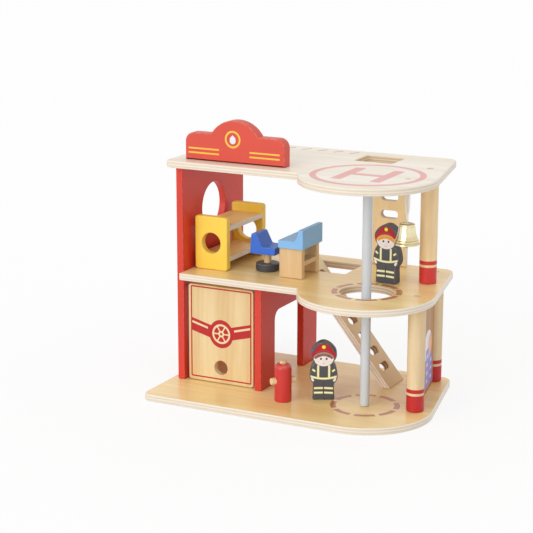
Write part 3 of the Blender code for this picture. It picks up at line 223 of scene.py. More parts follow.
class Facing(Enum):
    """Where a flat board's own x, y and thickness axes point."""

    LEVEL = ((1, 0, 0), (0, 1, 0), (0, 0, 1))
    FRONT = ((1, 0, 0), (0, 0, 1), (0, -1, 0))
    SIDE = ((0, 1, 0), (0, 0, 1), (1, 0, 0))


class Grain(Enum):
    """Which of a piece's own axes the wood grain follows, as an order of its axes."""

    ALONG_X = (0, 1, 2)
    ALONG_Y = (1, 0, 2)


@dataclass
class Surface:
    """A mesh as whole arrays, with what its finish reads at each point."""

    points: Array
    faces: Array
    local: Array
    normals: Array
    edge: Array
    depth: Array
    rim: Array
    smooth: bool = True

    @classmethod
    def shaded(
        cls, points: Array, faces: list[Array], local: Array, normals: Array, depth: Array
    ) -> "Surface":
        """Returns a surface whose edge and rim masks follow from how its normals lean.

        With c as a normal's own z share, the edge mask is 1 where c is small, and the rim mask is
        4 c^2 (1 - c^2), which peaks half way round a rounding.

        Args:
            points: Its points.
            faces: Groups of faces; a triangle's fourth place is -1.
            local: The place of each point on the piece, for its print and grain.
            normals: Unit normals.
            depth: Share of the board's thickness, plus 2 on the wall of a hole.

        Returns:
            The surface.
        """
        slope = np.abs(normals[:, 2])
        edge, rim = (slope < EDGE_LEAN).astype(float), 4 * slope**2 * (1 - slope**2)
        return cls(points, np.concatenate(faces), local, normals, edge, depth, rim)

    def moved(self, axes: object, origin: object) -> "Surface":
        """Carries the surface into the row frame.

        Args:
            axes: Three rows, the directions of its own x, y and z.
            origin: Where its own origin goes.

        Returns:
            The same surface, moved.
        """
        matrix = np.asarray(axes, float)
        self.points = self.points @ matrix + np.asarray(origin, float)
        self.normals = self.normals @ matrix
        return self

    @staticmethod
    def joined(parts: list["Surface"]) -> "Surface":
        """Returns several surfaces as one, their faces renumbered.

        Args:
            parts: The surfaces, in order.

        Returns:
            The one surface.
        """
        starts = np.cumsum([0] + [len(part.points) for part in parts[:-1]])
        faces = [np.where(part.faces < 0, -1, part.faces + start) for part, start in zip(parts, starts)]
        labels = ("local", "normals", "edge", "depth", "rim")
        arrays = {label: np.concatenate([getattr(part, label) for part in parts]) for label in labels}
        return Surface(np.concatenate([part.points for part in parts]), np.concatenate(faces), **arrays)


def path_normals(path: Array, closed: bool) -> Array:
    """Returns the right-hand normal of a path at its points.

    It is the sum of the two neighbouring segments' normals, each weighted by its length, so that
    a long straight side keeps its own normal right up to the rounding at its end.

    Args:
        path: Points in order.
        closed: Whether the last point joins the first.

    Returns:
        Unit normals, one for each point.
    """
    segment = np.roll(path, -1, 0) - path
    weighted = np.stack((segment[:, 1], -segment[:, 0]), 1)
    if not closed:
        weighted[-1] = 0
    before = np.roll(weighted, 1, 0)
    if not closed:
        before[0] = 0
    total = weighted + before
    return total / np.linalg.norm(total, axis=1, keepdims=True)


def signed_area(loop: Array) -> float:
    """Returns a loop's area, positive where it runs anticlockwise."""
    x, y = loop.T
    return float(np.sum(x * np.roll(y, -1) - np.roll(x, -1) * y) / 2)


def quads(ids: Array) -> Array:
    """Returns the faces between the rows of a grid of point numbers, closed round each row."""
    after = np.roll(ids, -1, 1)
    return np.stack((ids[:-1], ids[1:], after[1:], after[:-1]), 2).reshape(-1, 4)


def fan(pole: int, first: Array, second: Array) -> Array:
    """Returns the triangles from a pole to each pair of neighbours on a ring."""
    return np.stack((np.full(len(first), pole), first, second, np.full(len(first), -1)), 1)


def board(
    outline: Array,
    holes: list[Array],
    thickness: float,
    rounding: float,
    hole_roundings: tuple[float, ...] = (),
) -> Surface:
    """Returns a flat board with softly rounded edges.

    Each loop is carried along one profile: a quarter circle from the upper face out to the side,
    the straight side, and a quarter circle back to the lower face. Two flat caps join the loops.

    Args:
        outline: The outer loop.
        holes: Loops cut through the board.
        thickness: The board's thickness, centred on its own plane.
        rounding: Radius of the edge rounding.
        hole_roundings: Radius for each hole, where it differs from the outline's.

    Returns:
        The board in its own x, y and z.
    """
    rows = 2 * ROWS
    tilt = np.radians(np.concatenate((np.linspace(90, 0, ROWS), np.linspace(0, -90, ROWS))))
    upward = np.where(np.arange(rows) < ROWS, 1.0, -1.0)
    radii = [rounding] + (list(hole_roundings) or [rounding] * len(holes))
    points, normals, depths, faces, caps, start = [], [], [], [], [], 0
    for index, (loop, radius) in enumerate(zip([outline] + holes, radii)):
        inset = radius * (1 - np.cos(tilt))
        height = upward * (thickness / 2 - radius * (1 - np.abs(np.sin(tilt))))
        if signed_area(loop) * (1 if index == 0 else -1) < 0:
            loop = loop[::-1]
        count = len(loop)
        outward = path_normals(loop, True)
        flat = loop[None] - outward[None] * inset[:, None, None]
        rings = np.concatenate((flat, np.broadcast_to(height[:, None, None], (rows, count, 1))), 2)
        sides = outward[None] * np.cos(tilt)[:, None, None]
        lift = np.broadcast_to(np.sin(tilt)[:, None, None], (rows, count, 1))
        points.append(rings.reshape(-1, 3))
        normals.append(np.concatenate((sides, lift), 2).reshape(-1, 3))
        depths.append(rings[..., 2].ravel() / thickness + 0.5 + 2 * min(index, 1))
        ids = start + np.arange(rows * count).reshape(rows, count)
        faces.append(quads(ids))
        caps.append((ids[0], ids[-1], flat[0]))
        start += rows * count
    upper, lower, rings = zip(*caps)
    outlines = [[Vector((x, y, 0)) for x, y in ring] for ring in rings]
    triangles = np.array(tessellate_polygon(outlines), int)
    corner = np.concatenate(rings)[triangles]
    side, other = corner[:, 1] - corner[:, 0], corner[:, 2] - corner[:, 0]
    reverse = side[:, 0] * other[:, 1] - side[:, 1] * other[:, 0] < 0
    triangles[reverse] = triangles[reverse][:, ::-1]
    for ids, order in ((np.concatenate(upper), 1), (np.concatenate(lower), -1)):
        faces.append(np.c_[ids[triangles[:, ::order]], np.full(len(triangles), -1)])
    points = np.concatenate(points)
    return Surface.shaded(points, faces, points.copy(), np.concatenate(normals), np.concatenate(depths))


def turned(profile: Array, steps: int = 72) -> Surface:
    """Returns a solid of revolution.

    The profile's (radius, height) points run from the top down the outer side, and each is carried
    round the z axis: (radius times cosine, radius times sine, height). Points on the axis close it,
    and a profile with none there is closed into a ring.

    Args:
        profile: Points of the profile.
        steps: Number of chords round the axis.

    Returns:
        The solid about its own z axis, its print and grain unrolled round it.
    """
    top, bottom = profile[0, 0] <= 0, profile[-1, 0] <= 0
    inner = slice(int(top), len(profile) - int(bottom))
    ring, lean = profile[inner], path_normals(profile, False)[inner] * -1
    angle = np.linspace(0, WHOLE_TURN, steps, endpoint=False)
    turn = np.stack((np.cos(angle), np.sin(angle)), 1)
    size = (len(ring), steps)

    def revolved(pairs: Array) -> Array:
        """Returns (radius, height) pairs carried round the axis."""
        flat = pairs[:, None, 0, None] * turn[None]
        return np.concatenate((flat, np.broadcast_to(pairs[:, None, 1, None], (*size, 1))), 2)

    points, normals = revolved(ring), revolved(lean)
    girth = ((angle + math.pi) % WHOLE_TURN - math.pi) * profile[:, 0].max()
    columns = (np.broadcast_to(girth, size), points[:, :, 2], np.broadcast_to(ring[:, None, 0], size))
    unrolled = np.stack(columns, 2)
    ids = np.arange(len(ring) * steps).reshape(size)
    after = np.roll(ids, -1, 1)
    faces = [quads(ids)]
    points, normals, unrolled = (part.reshape(-1, 3) for part in (points, normals, unrolled))
    for closed, row, height, up in ((top, 0, profile[0, 1], 1), (bottom, -1, profile[-1, 1], -1)):
        if not closed:
            continue
        pole = len(points)
        points = np.vstack((points, (0, 0, height)))
        normals = np.vstack((normals, (0, 0, up)))
        unrolled = np.vstack((unrolled, (0, height, 0)))
        faces.append(fan(pole, *((ids[row], after[row])[::up])))
    if not top and not bottom:
        faces.append(np.stack((ids[-1], ids[0], after[0], after[-1]), 1))
    return Surface.shaded(points, faces, unrolled, normals, np.full(len(points), 0.5))


def rod(radius: float, tall: float, edges: Place, chords: int, steps: int, foot: float) -> Surface:
    """Returns a turned rod with rounded ends.

    Args:
        radius: The rod's radius.
        tall: Its length.
        edges: Radius of the rounding at its top and at its bottom.
        chords: Chords in each rounding.
        steps: Chords round the axis.
        foot: Height of its lower end.

    Returns:
        The rod about its own z axis.
    """
    top = foot + tall
    corners = [(0, top, 0), (radius, top, edges[0]), (radius, foot, edges[1]), (0, foot, 0)]
    return turned(rounded(corners, chords, closed=False), steps)


def rope(path: Array, radius: float, pitch: float, strands: int = 3, sides: int = 7) -> Surface:
    """Returns a twisted cord whose strands wind round a path in the XZ plane.

    At a length s along the path, strand k's middle stands half a radius off it at the angle
    2 pi (s / pitch + k / strands), and the strand's own circle is drawn about that middle.

    Args:
        path: Points of the path.
        radius: The whole cord's radius.
        pitch: Length of one turn of the twist.
        strands: Number of strands.
        sides: Points round one strand.

    Returns:
        The cord as one surface of closed strands.
    """
    step = np.diff(path, axis=0)
    length = np.concatenate(([0], np.cumsum(np.linalg.norm(step, axis=1))))
    count = max(int(length[-1] / pitch * 12), 8)
    along = np.linspace(0, length[-1], count)
    centre = np.stack([np.interp(along, length, path[:, axis]) for axis in range(3)], 1)
    tangent = np.gradient(centre, axis=0)
    tangent /= np.linalg.norm(tangent, axis=1, keepdims=True)
    across = np.broadcast_to((0.0, 1.0, 0.0), centre.shape)
    upward = np.cross(tangent, across)
    ring = np.linspace(0, WHOLE_TURN, sides, endpoint=False)[None, :, None]
    spoke = across[:, None] * np.cos(ring) + upward[:, None] * np.sin(ring)
    spokes = np.vstack((spoke.reshape(-1, 3), -tangent[:1], tangent[-1:]))
    ids = np.arange(count * sides).reshape(count, sides)
    after = np.roll(ids, -1, 1)
    first = ids.size
    sides_of_tube = np.roll(quads(ids)[:, ::-1], 1, 1)
    ends = (fan(first, after[0], ids[0]), fan(first + 1, ids[-1], after[-1]))
    faces = np.concatenate((sides_of_tube, *ends))
    size = first + 2
    parts = []
    for strand in range(strands):
        wind = WHOLE_TURN * (along / pitch + strand / strands)
        offset = across * np.cos(wind)[:, None] + upward * np.sin(wind)[:, None]
        middle_line = centre + offset * radius * 0.5
        points = (middle_line[:, None] + spoke * radius * 0.52).reshape(-1, 3)
        points = np.vstack((points, middle_line[0], middle_line[-1]))
        masks = (np.ones(size), np.full(size, 0.5), np.zeros(size))
        parts.append(Surface(points, faces, points.copy(), spokes, *masks))
    return Surface.joined(parts)


def socket_kind(label: str) -> str:
    """Returns the socket type that a label stands for.

    Args:
        label: The input's or output's name.

    Returns:
        The socket type's name.
    """
    if "colo" in label.lower():
        return "NodeSocketColor"
    return "NodeSocketVector" if label in VECTOR_LABELS else "NodeSocketFloat"


class Graph:
    """A node tree with short ways to add and join its nodes."""

    def __init__(self, tree: Tree) -> None:
        """Keeps the tree that the nodes go into."""
        self.tree = tree

    @classmethod
    def group(cls, name: str, *labels: str) -> tuple:
        """Starts a node group.

        Args:
            name: The group's name.
            labels: The names of its inputs.

        Returns:
            The graph, then the socket of each input.
        """
        graph = cls(bpy.data.node_groups.new(name, "ShaderNodeTree"))
        for label in labels:
            graph.tree.interface.new_socket(label, in_out="INPUT", socket_type=socket_kind(label))
        return graph, *graph.node("NodeGroupInput").outputs[: len(labels)]

    def give(self, **outputs: Socket) -> Tree:
        """Ends a node group by feeding its outputs, and returns its tree.

        Args:
            outputs: What feeds each output, by its name.

        Returns:
            The group's tree.
        """
        for name in outputs:
            label = name.capitalize()
            self.tree.interface.new_socket(label, in_out="OUTPUT", socket_type=socket_kind(label))
        end = self.node("NodeGroupOutput")
        for name, value in outputs.items():
            self.feed(end.inputs[name.capitalize()], value)
        return self.tree

    def node(self, kind: str, **settings: object) -> bpy.types.Node:
        """Adds a node of a kind and sets its options.

        Args:
            kind: The node's type name.
            settings: Its options by name.

        Returns:
            The new node.
        """
        made = self.tree.nodes.new(kind)
        for name, value in settings.items():
            setattr(made, name, value)
        return made

    def feed(self, socket: Socket, value: Feed) -> None:
        """Links a socket or sets its constant, a colour's alpha and a flat place's z being 1.

        Args:
            socket: The input to fill.
            value: What goes in.
        """
        if isinstance(value, Socket):
            self.tree.links.new(value, socket)
        elif isinstance(value, tuple) and len(value) < len(socket.default_value):
            socket.default_value = (*value, 1)
        else:
            socket.default_value = value

    def feed_all(self, made: bpy.types.Node, values: tuple[Feed, ...]) -> bpy.types.Node:
        """Feeds a node's sockets in order and returns the node.

        Args:
            made: The node.
            values: What goes into its inputs, in order.

        Returns:
            The same node.
        """
        for socket, value in zip(made.inputs, values):
            self.feed(socket, value)
        return made

    def math(self, operation: str, *values: Feed, clamp: bool = False) -> Socket:
        """Adds a Math node and returns its value."""
        made = self.node("ShaderNodeMath", operation=operation, use_clamp=clamp)
        return self.feed_all(made, values).outputs[0]

    def times(self, first: Feed, second: Feed, plus: Feed | None = None, clamp: bool = False) -> Socket:
        """Returns first times second, with a third value added where there is one.

        Args:
            first: First factor.
            second: Second factor.
            plus: What is added, if anything.
            clamp: Whether the result is held to 0 to 1.

        Returns:
            The result.
        """
        if plus is None:
            return self.math("MULTIPLY", first, second, clamp=clamp)
        return self.math("MULTIPLY_ADD", first, second, plus, clamp=clamp)

    def sharp(self, away: Feed) -> Socket:
        """Returns 1 where a distance is below zero, softened over a fifth of a millimetre."""
        return self.times(away, MASK_SLOPE, 0.5, clamp=True)

    def vector(self, operation: str, *values: Feed) -> Socket:
        """Adds a Vector Math node and returns its vector, or its value for a length."""
        made = self.feed_all(self.node("ShaderNodeVectorMath", operation=operation), values)
        return made.outputs["Value" if operation == "LENGTH" else "Vector"]

    def mix(self, share: Feed, first: Feed, second: Feed) -> Socket:
        """Mixes two colours and returns the result.

        Args:
            share: Weight of the second colour.
            first: First colour.
            second: Second colour.

        Returns:
            The mixed colour.
        """
        made = self.node("ShaderNodeMix", data_type="RGBA")
        self.feed(made.inputs["Factor"], share)
        self.feed(made.inputs[6], first)
        self.feed(made.inputs[7], second)
        return made.outputs[2]

    def noise(self, position: Socket, scale: Feed, detail: float = 3, rough: float = 0.5) -> Socket:
        """Adds a noise texture.

        Args:
            position: Where it is read.
            scale: Its fineness, one for all axes or one for each.
            detail: Number of finer layers.
            rough: Strength of the finer layers.

        Returns:
            Its value of 0 to 1.
        """
        if isinstance(scale, tuple):
            position, scale = self.vector("MULTIPLY", position, scale), 1.0
        made = self.node("ShaderNodeTexNoise")
        inputs = {"Vector": position, "Scale": scale, "Detail": detail, "Roughness": rough}
        for label, value in inputs.items():
            self.feed(made.inputs[label], value)
        return made.outputs["Fac"]

    def spread(self, value: Feed, low: float, high: float) -> Socket:
        """Stretches low to high onto 0 to 1 with soft ends."""
        made = self.node("ShaderNodeMapRange", interpolation_type="SMOOTHSTEP")
        return self.feed_all(made, (value, low, high)).outputs["Result"]

    def split(self, vector: Feed) -> tuple[Socket, ...]:
        """Returns a vector's three coordinates."""
        return tuple(self.feed_all(self.node("ShaderNodeSeparateXYZ"), (vector,)).outputs)

    def join(self, x: Feed, y: Feed) -> Socket:
        """Returns the flat vector of two coordinates."""
        return self.feed_all(self.node("ShaderNodeCombineXYZ"), (x, y)).outputs[0]

    def attribute(self, name: str, vector: bool = False) -> Socket:
        """Returns an attribute of the mesh as a value or a vector."""
        made = self.node("ShaderNodeAttribute", attribute_name=name)
        return made.outputs["Vector" if vector else "Fac"]

    def use(self, group: Tree, **inputs: Feed) -> tuple[Socket, ...]:
        """Adds a group node and returns its outputs; an input's name has underscores for spaces.

        Args:
            group: The group's tree.
            inputs: What feeds each input, by its name.

        Returns:
            The group's outputs, in order.
        """
        made = self.node("ShaderNodeGroup", node_tree=group)
        for name, value in inputs.items():
            self.feed(made.inputs[name.replace("_", " ").capitalize()], value)
        return tuple(made.outputs)


class Workshop:
    """The shader node groups that the finishes share, each built once."""

    def __init__(self) -> None:
        """Builds every group."""
        self.grain = self._grain()
        self.plies = self._plies()
        self.coat = self._coat()
        self.box = self._box()
        self.ellipse = self._ellipse()
        self.ring = self._ring()
        self.ink = self._ink()

    def _grain(self) -> Tree:
        """Wood grain: broad bands, growth lines and fine fibres, all long along the first axis.

        Returns:
            The group's tree.
        """
        labels = ("Position", "Light colour", "Dark colour", "Figure")
        g, position, light, dark, figure = Graph.group("wood_grain", *labels)
        broad = g.noise(position, (4.5, 42.0, 42.0))
        bend = g.noise(position, (3.5, 16.0, 16.0), 2)
        phase = g.times(bend, 42.0, g.times(g.split(position)[1], 620.0))
        lines = g.math("POWER", g.times(g.math("SINE", phase), 0.5, 0.5), 2.0)
        fibre = g.noise(position, (70.0, 2300.0, 2300.0), 2, 0.6)
        flecks = g.spread(g.noise(position, (230.0, 2600.0, 2600.0), 1), 0.62, 0.78)
        tone = g.times(g.spread(broad, 0.28, 0.7), 0.62)
        for layer, weight in ((lines, 0.13), (fibre, 0.2), (flecks, 0.22)):
            tone = g.times(layer, weight, tone)
        share = g.times(tone, figure, clamp=True)
        return g.give(color=g.mix(share, light, dark), height=g.times(flecks, -0.5, fibre))

    def _plies(self) -> Tree:
        """Plywood edge: alternating veneers across the depth, end grain in every second one, and on the
        wall of a hole a darker edge with deeper dark veneers as painted shade.

        Returns:
            The group's tree.
        """
        labels = ("Position", "Depth", "Layers", "Light colour", "Dark colour")
        g, position, depth, layers, light, dark = Graph.group("plywood_edge", *labels)
        sway = g.times(g.noise(position, 11.0, 1), 0.06, -0.03)
        level = g.times(g.math("ADD", depth, sway), layers)
        second = g.math("MODULO", g.math("FLOOR", level), 2.0)
        off_middle = g.math("ABSOLUTE", g.math("SUBTRACT", g.math("FRACT", level), 0.5))
        speckle = g.spread(g.noise(position, 1500.0, 2, 0.7), 0.45, 0.7)
        streak = g.noise(position, (40.0, 40.0, 1500.0), 2)
        end_grain = g.times(second, g.times(speckle, 0.25, 0.3))
        tone = g.math("ADD", end_grain, g.times(streak, 0.2))
        tone = g.times(g.spread(off_middle, 0.40, 0.49), 0.3, tone)
        # Painted shade: the wall of a hole is darkened all over, and its dark veneers more.
        hole = g.math("GREATER_THAN", depth, 1.5)
        tone = g.times(hole, g.times(second, 0.9, 0.35), tone)
        height = g.times(second, -0.5, g.times(speckle, -0.4))
        return g.give(color=g.mix(tone, light, dark), height=height)

    def _coat(self) -> Tree:
        """Brushed lacquer: slight mottling, and lighter on the rounded rims, where the paint is thinner
        and a painted highlight is laid.

        Returns:
            The group's tree.
        """
        labels = ("Position", "Base colour", "Rim", "Smoothness")
        g, position, base, rim, smoothness = Graph.group("paint_coat", *labels)
        cloud = g.noise(position, 28.0, 4, 0.6)
        brush = g.noise(position, (60.0, 900.0, 900.0), 3, 0.6)
        peel = g.noise(position, 1400.0, 2)
        darker = g.mix(g.times(g.spread(cloud, 0.35, 0.75), 0.06), base, (0.0, 0.0, 0.0))
        # Lighter on the rounded rims: thinner paint there, and a painted highlight along the edges.
        thin = g.times(rim, g.spread(g.noise(position, 160.0), 0.3, 0.7))
        thinned_and_highlit = g.mix(g.times(thin, 0.14), darker, (1.0, 0.92, 0.84))
        height = g.times(brush, 0.7, g.times(peel, 0.3))
        return g.give(color=thinned_and_highlit, roughness=g.times(brush, 0.16, smoothness), height=height)

    def _box(self) -> Tree:
        """Mask of a turned rectangle with round corners, filled or as a line.

        Returns:
            The group's tree.
        """
        labels = ("Point", "Centre", "Half", "Turn", "Slope", "Corner", "Line")
        g, point, centre, half, turn, slope, corner, line = Graph.group("box_mask", *labels)
        x, y, _ = g.split(g.vector("SUBTRACT", point, centre))
        flat = g.join(x, g.math("SUBTRACT", y, g.times(x, slope)))
        spun = g.node("ShaderNodeVectorRotate", rotation_type="Z_AXIS")
        g.feed(spun.inputs["Vector"], flat)
        g.feed(spun.inputs["Angle"], g.times(turn, -math.radians(1)))
        x, y, _ = g.split(g.vector("SUBTRACT", g.vector("ABSOLUTE", spun.outputs[0]), half))
        x, y = g.math("ADD", x, corner), g.math("ADD", y, corner)
        inside = g.math("MINIMUM", g.math("MAXIMUM", x, y), 0.0)
        outside = g.vector("LENGTH", g.join(g.math("MAXIMUM", x, 0.0), g.math("MAXIMUM", y, 0.0)))
        away = g.math("SUBTRACT", g.math("ADD", outside, inside), corner)
        lined = g.math("GREATER_THAN", line, 0.0)
        stroke = g.math("SUBTRACT", g.math("ABSOLUTE", away), g.times(line, 0.5))
        filled = g.times(g.math("SUBTRACT", 1.0, lined), away)
        return g.give(mask=g.sharp(g.math("ADD", g.times(lined, stroke), filled)))

    def _ellipse(self) -> Tree:
        """Mask of a filled ellipse.

        Returns:
            The group's tree.
        """
        g, point, centre, half = Graph.group("ellipse_mask", "Point", "Centre", "Half")
        flat = g.vector("MULTIPLY", g.vector("SUBTRACT", point, centre), FLATTEN)
        reach = g.vector("LENGTH", g.vector("DIVIDE", flat, half))
        x, y, _ = g.split(half)
        away = g.times(g.math("SUBTRACT", reach, 1.0), g.math("MINIMUM", x, y))
        return g.give(mask=g.sharp(away))

    def _ring(self) -> Tree:
        """Mask of a ring, whole or broken into equal dashes.

        Returns:
            The group's tree.
        """
        labels = ("Point", "Centre", "Radius", "Width", "Dashes", "Share", "Start")
        g, point, centre, radius, width, dashes, share, start = Graph.group("ring_mask", *labels)
        flat = g.vector("MULTIPLY", g.vector("SUBTRACT", point, centre), FLATTEN)
        off = g.math("ABSOLUTE", g.math("SUBTRACT", g.vector("LENGTH", flat), radius))
        band = g.sharp(g.times(width, -0.5, off))
        x, y, _ = g.split(flat)
        angle = g.math("ADD", g.math("DIVIDE", g.math("ARCTAN2", y, x), WHOLE_TURN), start)
        place = g.math("FRACT", g.math("ADD", g.times(angle, dashes), 100.0))
        off_middle = g.math("ABSOLUTE", g.math("SUBTRACT", place, 0.5))
        gap = g.math("SUBTRACT", off_middle, g.times(share, 0.5))
        pitch = g.math("DIVIDE", g.times(radius, WHOLE_TURN), g.math("MAXIMUM", dashes, 1.0))
        dash = g.sharp(g.times(gap, pitch))
        whole = g.math("LESS_THAN", dashes, 0.5)
        return g.give(mask=g.times(band, g.math("MAXIMUM", dash, whole)))

    def _ink(self) -> Tree:
        """Printed ink laid over a surface, a little broken by the fibres under it.

        Returns:
            The group's tree.
        """
        labels = ("Under colour", "Ink colour", "Mask", "Position", "Cover")
        g, under, ink, mask, position, cover = Graph.group("print_ink", *labels)
        fibre = g.noise(position, (120.0, 1900.0, 1900.0), 2)
        share = g.times(fibre, -0.12, g.math("ADD", cover, 0.05), clamp=True)
        return g.give(color=g.mix(g.times(mask, share), under, ink))


class Side(Enum):
    """Which faces of a piece carry its print."""

    UPPER = "upper"
    BOTH = "both"
    ALL_ROUND = "all round"


@dataclass(frozen=True)
class Ink:
    """One printed shape; its centre is in the piece's own x and y."""

    group: ClassVar[str]
    centre: Place
    colour: Colour
    cover: float = 0.92

    def mask(self, g: Graph, shop: Workshop, point: Socket) -> Socket:
        """Returns the shape's mask; its own fields feed the group's inputs of the same names.

        Args:
            g: The material's graph.
            shop: The shared node groups.
            point: The place on the piece.

        Returns:
            A value of 1 where the ink lies.
        """
        own = fields(self)[len(fields(Ink)) :]
        sizes = {size.name: getattr(self, size.name) for size in own}
        return g.use(getattr(shop, self.group), point=point, centre=self.centre, **sizes)[0]


@dataclass(frozen=True)
class BoxInk(Ink):
    """A rectangle, turned by degrees and with round corners, filled or drawn as a line."""

    group = "box"
    half: Place = (0.001, 0.001)
    turn: float = 0.0
    corner: float = 0.0
    line: float = 0.0
    slope: float = 0.0


@dataclass(frozen=True)
class EllipseInk(Ink):
    """A filled ellipse."""

    group = "ellipse"
    half: Place = (0.001, 0.001)


@dataclass(frozen=True)
class RingInk(Ink):
    """A ring, whole or dashed."""

    group = "ring"
    radius: float = 0.01
    width: float = 0.001
    dashes: int = 0
    share: float = 0.6
    start: float = 0.0


def bow(centre: Place, rise: float, half: float, width: float, colour: Colour) -> RingInk:
    """Returns a printed band bent into a shallow arc.

    A chord of half length h with a rise of r belongs to a circle of radius (h^2 + r^2) / (2 r).

    Args:
        centre: Middle of the band.
        rise: How far the band's middle stands above its ends; below zero for a sagging band.
        half: Half of the chord.
        width: The band's width.
        colour: Its colour.

    Returns:
        The band as part of a ring.
    """
    radius = (half**2 + rise**2) / (2 * abs(rise))
    way = math.copysign(1, rise)
    hub = (centre[0], centre[1] - way * radius)
    share = math.asin(min(half / radius, 1)) / math.pi
    return RingInk(hub, colour, 0.96, radius, width, 1, share, 0.5 - way * 0.25)


@dataclass(frozen=True)
class Finish:
    """What every finish has: a name, a gloss, the print on top and the shader's constants."""

    constants: ClassVar[dict[str, float]]
    name: str
    roughness: float = 0.45
    inks: tuple[Ink, ...] = ()
    side: Side = Side.UPPER
    bump: float = 0.12
    coat: float = 0.0

    def base(self, g: Graph, shop: Workshop) -> Layers:
        """Returns the colour, roughness and height under the print.

        Args:
            g: The material's graph.
            shop: The shared node groups.

        Returns:
            Three sockets or constants.
        """
        raise NotImplementedError

    def material(self, shop: Workshop) -> bpy.types.Material:
        """Returns the finish as a material, made on its first use.

        Args:
            shop: The shared node groups.

        Returns:
            The material.
        """
        known = bpy.data.materials.get(self.name)
        if known:
            return known
        made = bpy.data.materials.new(self.name)
        made.use_nodes = True
        g = Graph(made.node_tree)
        shader = made.node_tree.nodes["Principled BSDF"]
        colour, rough, height = self.base(g, shop)
        bump = g.node("ShaderNodeBump")
        bump.inputs["Strength"].default_value = self.bump
        bump.inputs["Distance"].default_value = BUMP_DISTANCE
        g.feed(bump.inputs["Height"], height)
        g.feed(shader.inputs["Base Color"], self.printed(g, shop, colour))
        g.feed(shader.inputs["Roughness"], rough)
        g.feed(shader.inputs["Normal"], bump.outputs["Normal"])
        for label, value in {"Coat Weight": self.coat, **self.constants}.items():
            shader.inputs[label].default_value = value
        return made

    def printed(self, g: Graph, shop: Workshop, colour: Feed) -> Feed:
        """Returns the colour with every printed shape laid over it.

        Args:
            g: The material's g.
            shop: The shared node groups.
            colour: The colour under the print.

        Returns:
            The printed colour.
        """
        if not self.inks:
            return colour
        point, grain = g.attribute("local", True), g.attribute("grain", True)
        allowed = None
        if self.side is not Side.ALL_ROUND:
            allowed = g.math("SUBTRACT", 1.0, g.attribute("edge"), clamp=True)
        if self.side is Side.UPPER:
            upper = g.math("GREATER_THAN", g.split(point)[2], 0.0)
            allowed = g.times(allowed, upper)
        for ink in self.inks:
            mask = ink.mask(g, shop, point)
            if allowed is not None:
                mask = g.times(mask, allowed)
            laid = {"ink_colour": ink.colour, "mask": mask, "position": grain, "cover": ink.cover}
            colour = g.use(shop.ink, under_colour=colour, **laid)[0]
        return colour


@dataclass(frozen=True)
class WoodFinish(Finish):
    """Wood under a thin clear lacquer, solid or plywood with its veneers at the edges."""

    constants = {"Specular IOR Level": 0.4, "Coat Roughness": 0.22}
    light: Colour = srgb(255, 232, 170)
    dark: Colour = srgb(238, 196, 122)
    edge_light: Colour = srgb(240, 232, 218)
    edge_dark: Colour = srgb(206, 176, 136)
    layers: int = 0
    figure: float = 1.0
    coat: float = 0.15

    def base(self, g: Graph, shop: Workshop) -> Layers:
        """Returns the grain, with the veneers mixed in where the edge mask says so.

        Args:
            g: The material's graph.
            shop: The shared node groups.

        Returns:
            The three of them, as sockets or constants.
        """
        tones = {"light_colour": self.light, "dark_colour": self.dark, "figure": self.figure}
        colour, height = g.use(shop.grain, position=g.attribute("grain", True), **tones)
        rough = g.times(height, 0.12, self.roughness)
        if self.layers:
            edge = g.attribute("edge")
            tones = {"light_colour": self.edge_light, "dark_colour": self.edge_dark}
            places = {"position": g.attribute("local", True), "depth": g.attribute("depth")}
            veneer, relief = g.use(shop.plies, layers=float(self.layers), **places, **tones)
            colour = g.mix(edge, colour, veneer)
            height = g.math("ADD", g.times(relief, edge), g.times(height, 0.6))
        return colour, rough, height


@dataclass(frozen=True)
class PaintFinish(Finish):
    """Opaque toy lacquer over wood."""

    constants = {"Specular IOR Level": 0.45, "Coat Roughness": 0.2}
    coat: float = 0.15
    colour: Colour = srgb(226, 74, 58)

    def base(self, g: Graph, shop: Workshop) -> Layers:
        """Returns the coat's colour, roughness and height."""
        places = {"position": g.attribute("grain", True), "rim": g.attribute("rim")}
        return g.use(shop.coat, base_colour=self.colour, smoothness=self.roughness, **places)


@dataclass(frozen=True)
class MetalFinish(Finish):
    """Polished or plated metal with faint turning marks, darker on flat faces and rims as a painted
    dark reflection.
    """

    constants = {"Metallic": 1.0}
    colour: Colour = srgb(240, 222, 150)
    # The shade colour is a painted dark reflection, laid on flat faces and rims.
    shade: Colour = srgb(170, 132, 56)
    waves: float = 0.0

    def base(self, g: Graph, shop: Workshop) -> Layers:
        """Returns the metal's tint, darkened on flat faces and rims as a painted dark reflection, its
        uneven gloss and its turning marks.

        Args:
            g: The material's graph.
            shop: The shared node groups.

        Returns:
            The three of them, as sockets or constants.
        """
        position = g.attribute("grain", True)
        cloud = g.spread(g.noise(position, 90.0), 0.45, 0.8)
        rings = g.noise(position, (900.0, 25.0, 25.0), 2)
        waves = g.noise(position, (9.0, 240.0, 9.0), 1)
        tint = g.mix(g.times(cloud, 0.18), self.colour, (0.30, 0.22, 0.07))
        # Painted dark reflection: flat faces and rounded rims are mixed towards the shade colour.
        flat = g.math("SUBTRACT", 1.0, g.attribute("edge"), clamp=True)
        dark_reflection = g.math("MAXIMUM", g.attribute("rim"), flat)
        tint = g.mix(g.times(dark_reflection, 0.75), tint, self.shade)
        return tint, g.times(rings, 0.08, self.roughness), g.times(waves, self.waves, rings)


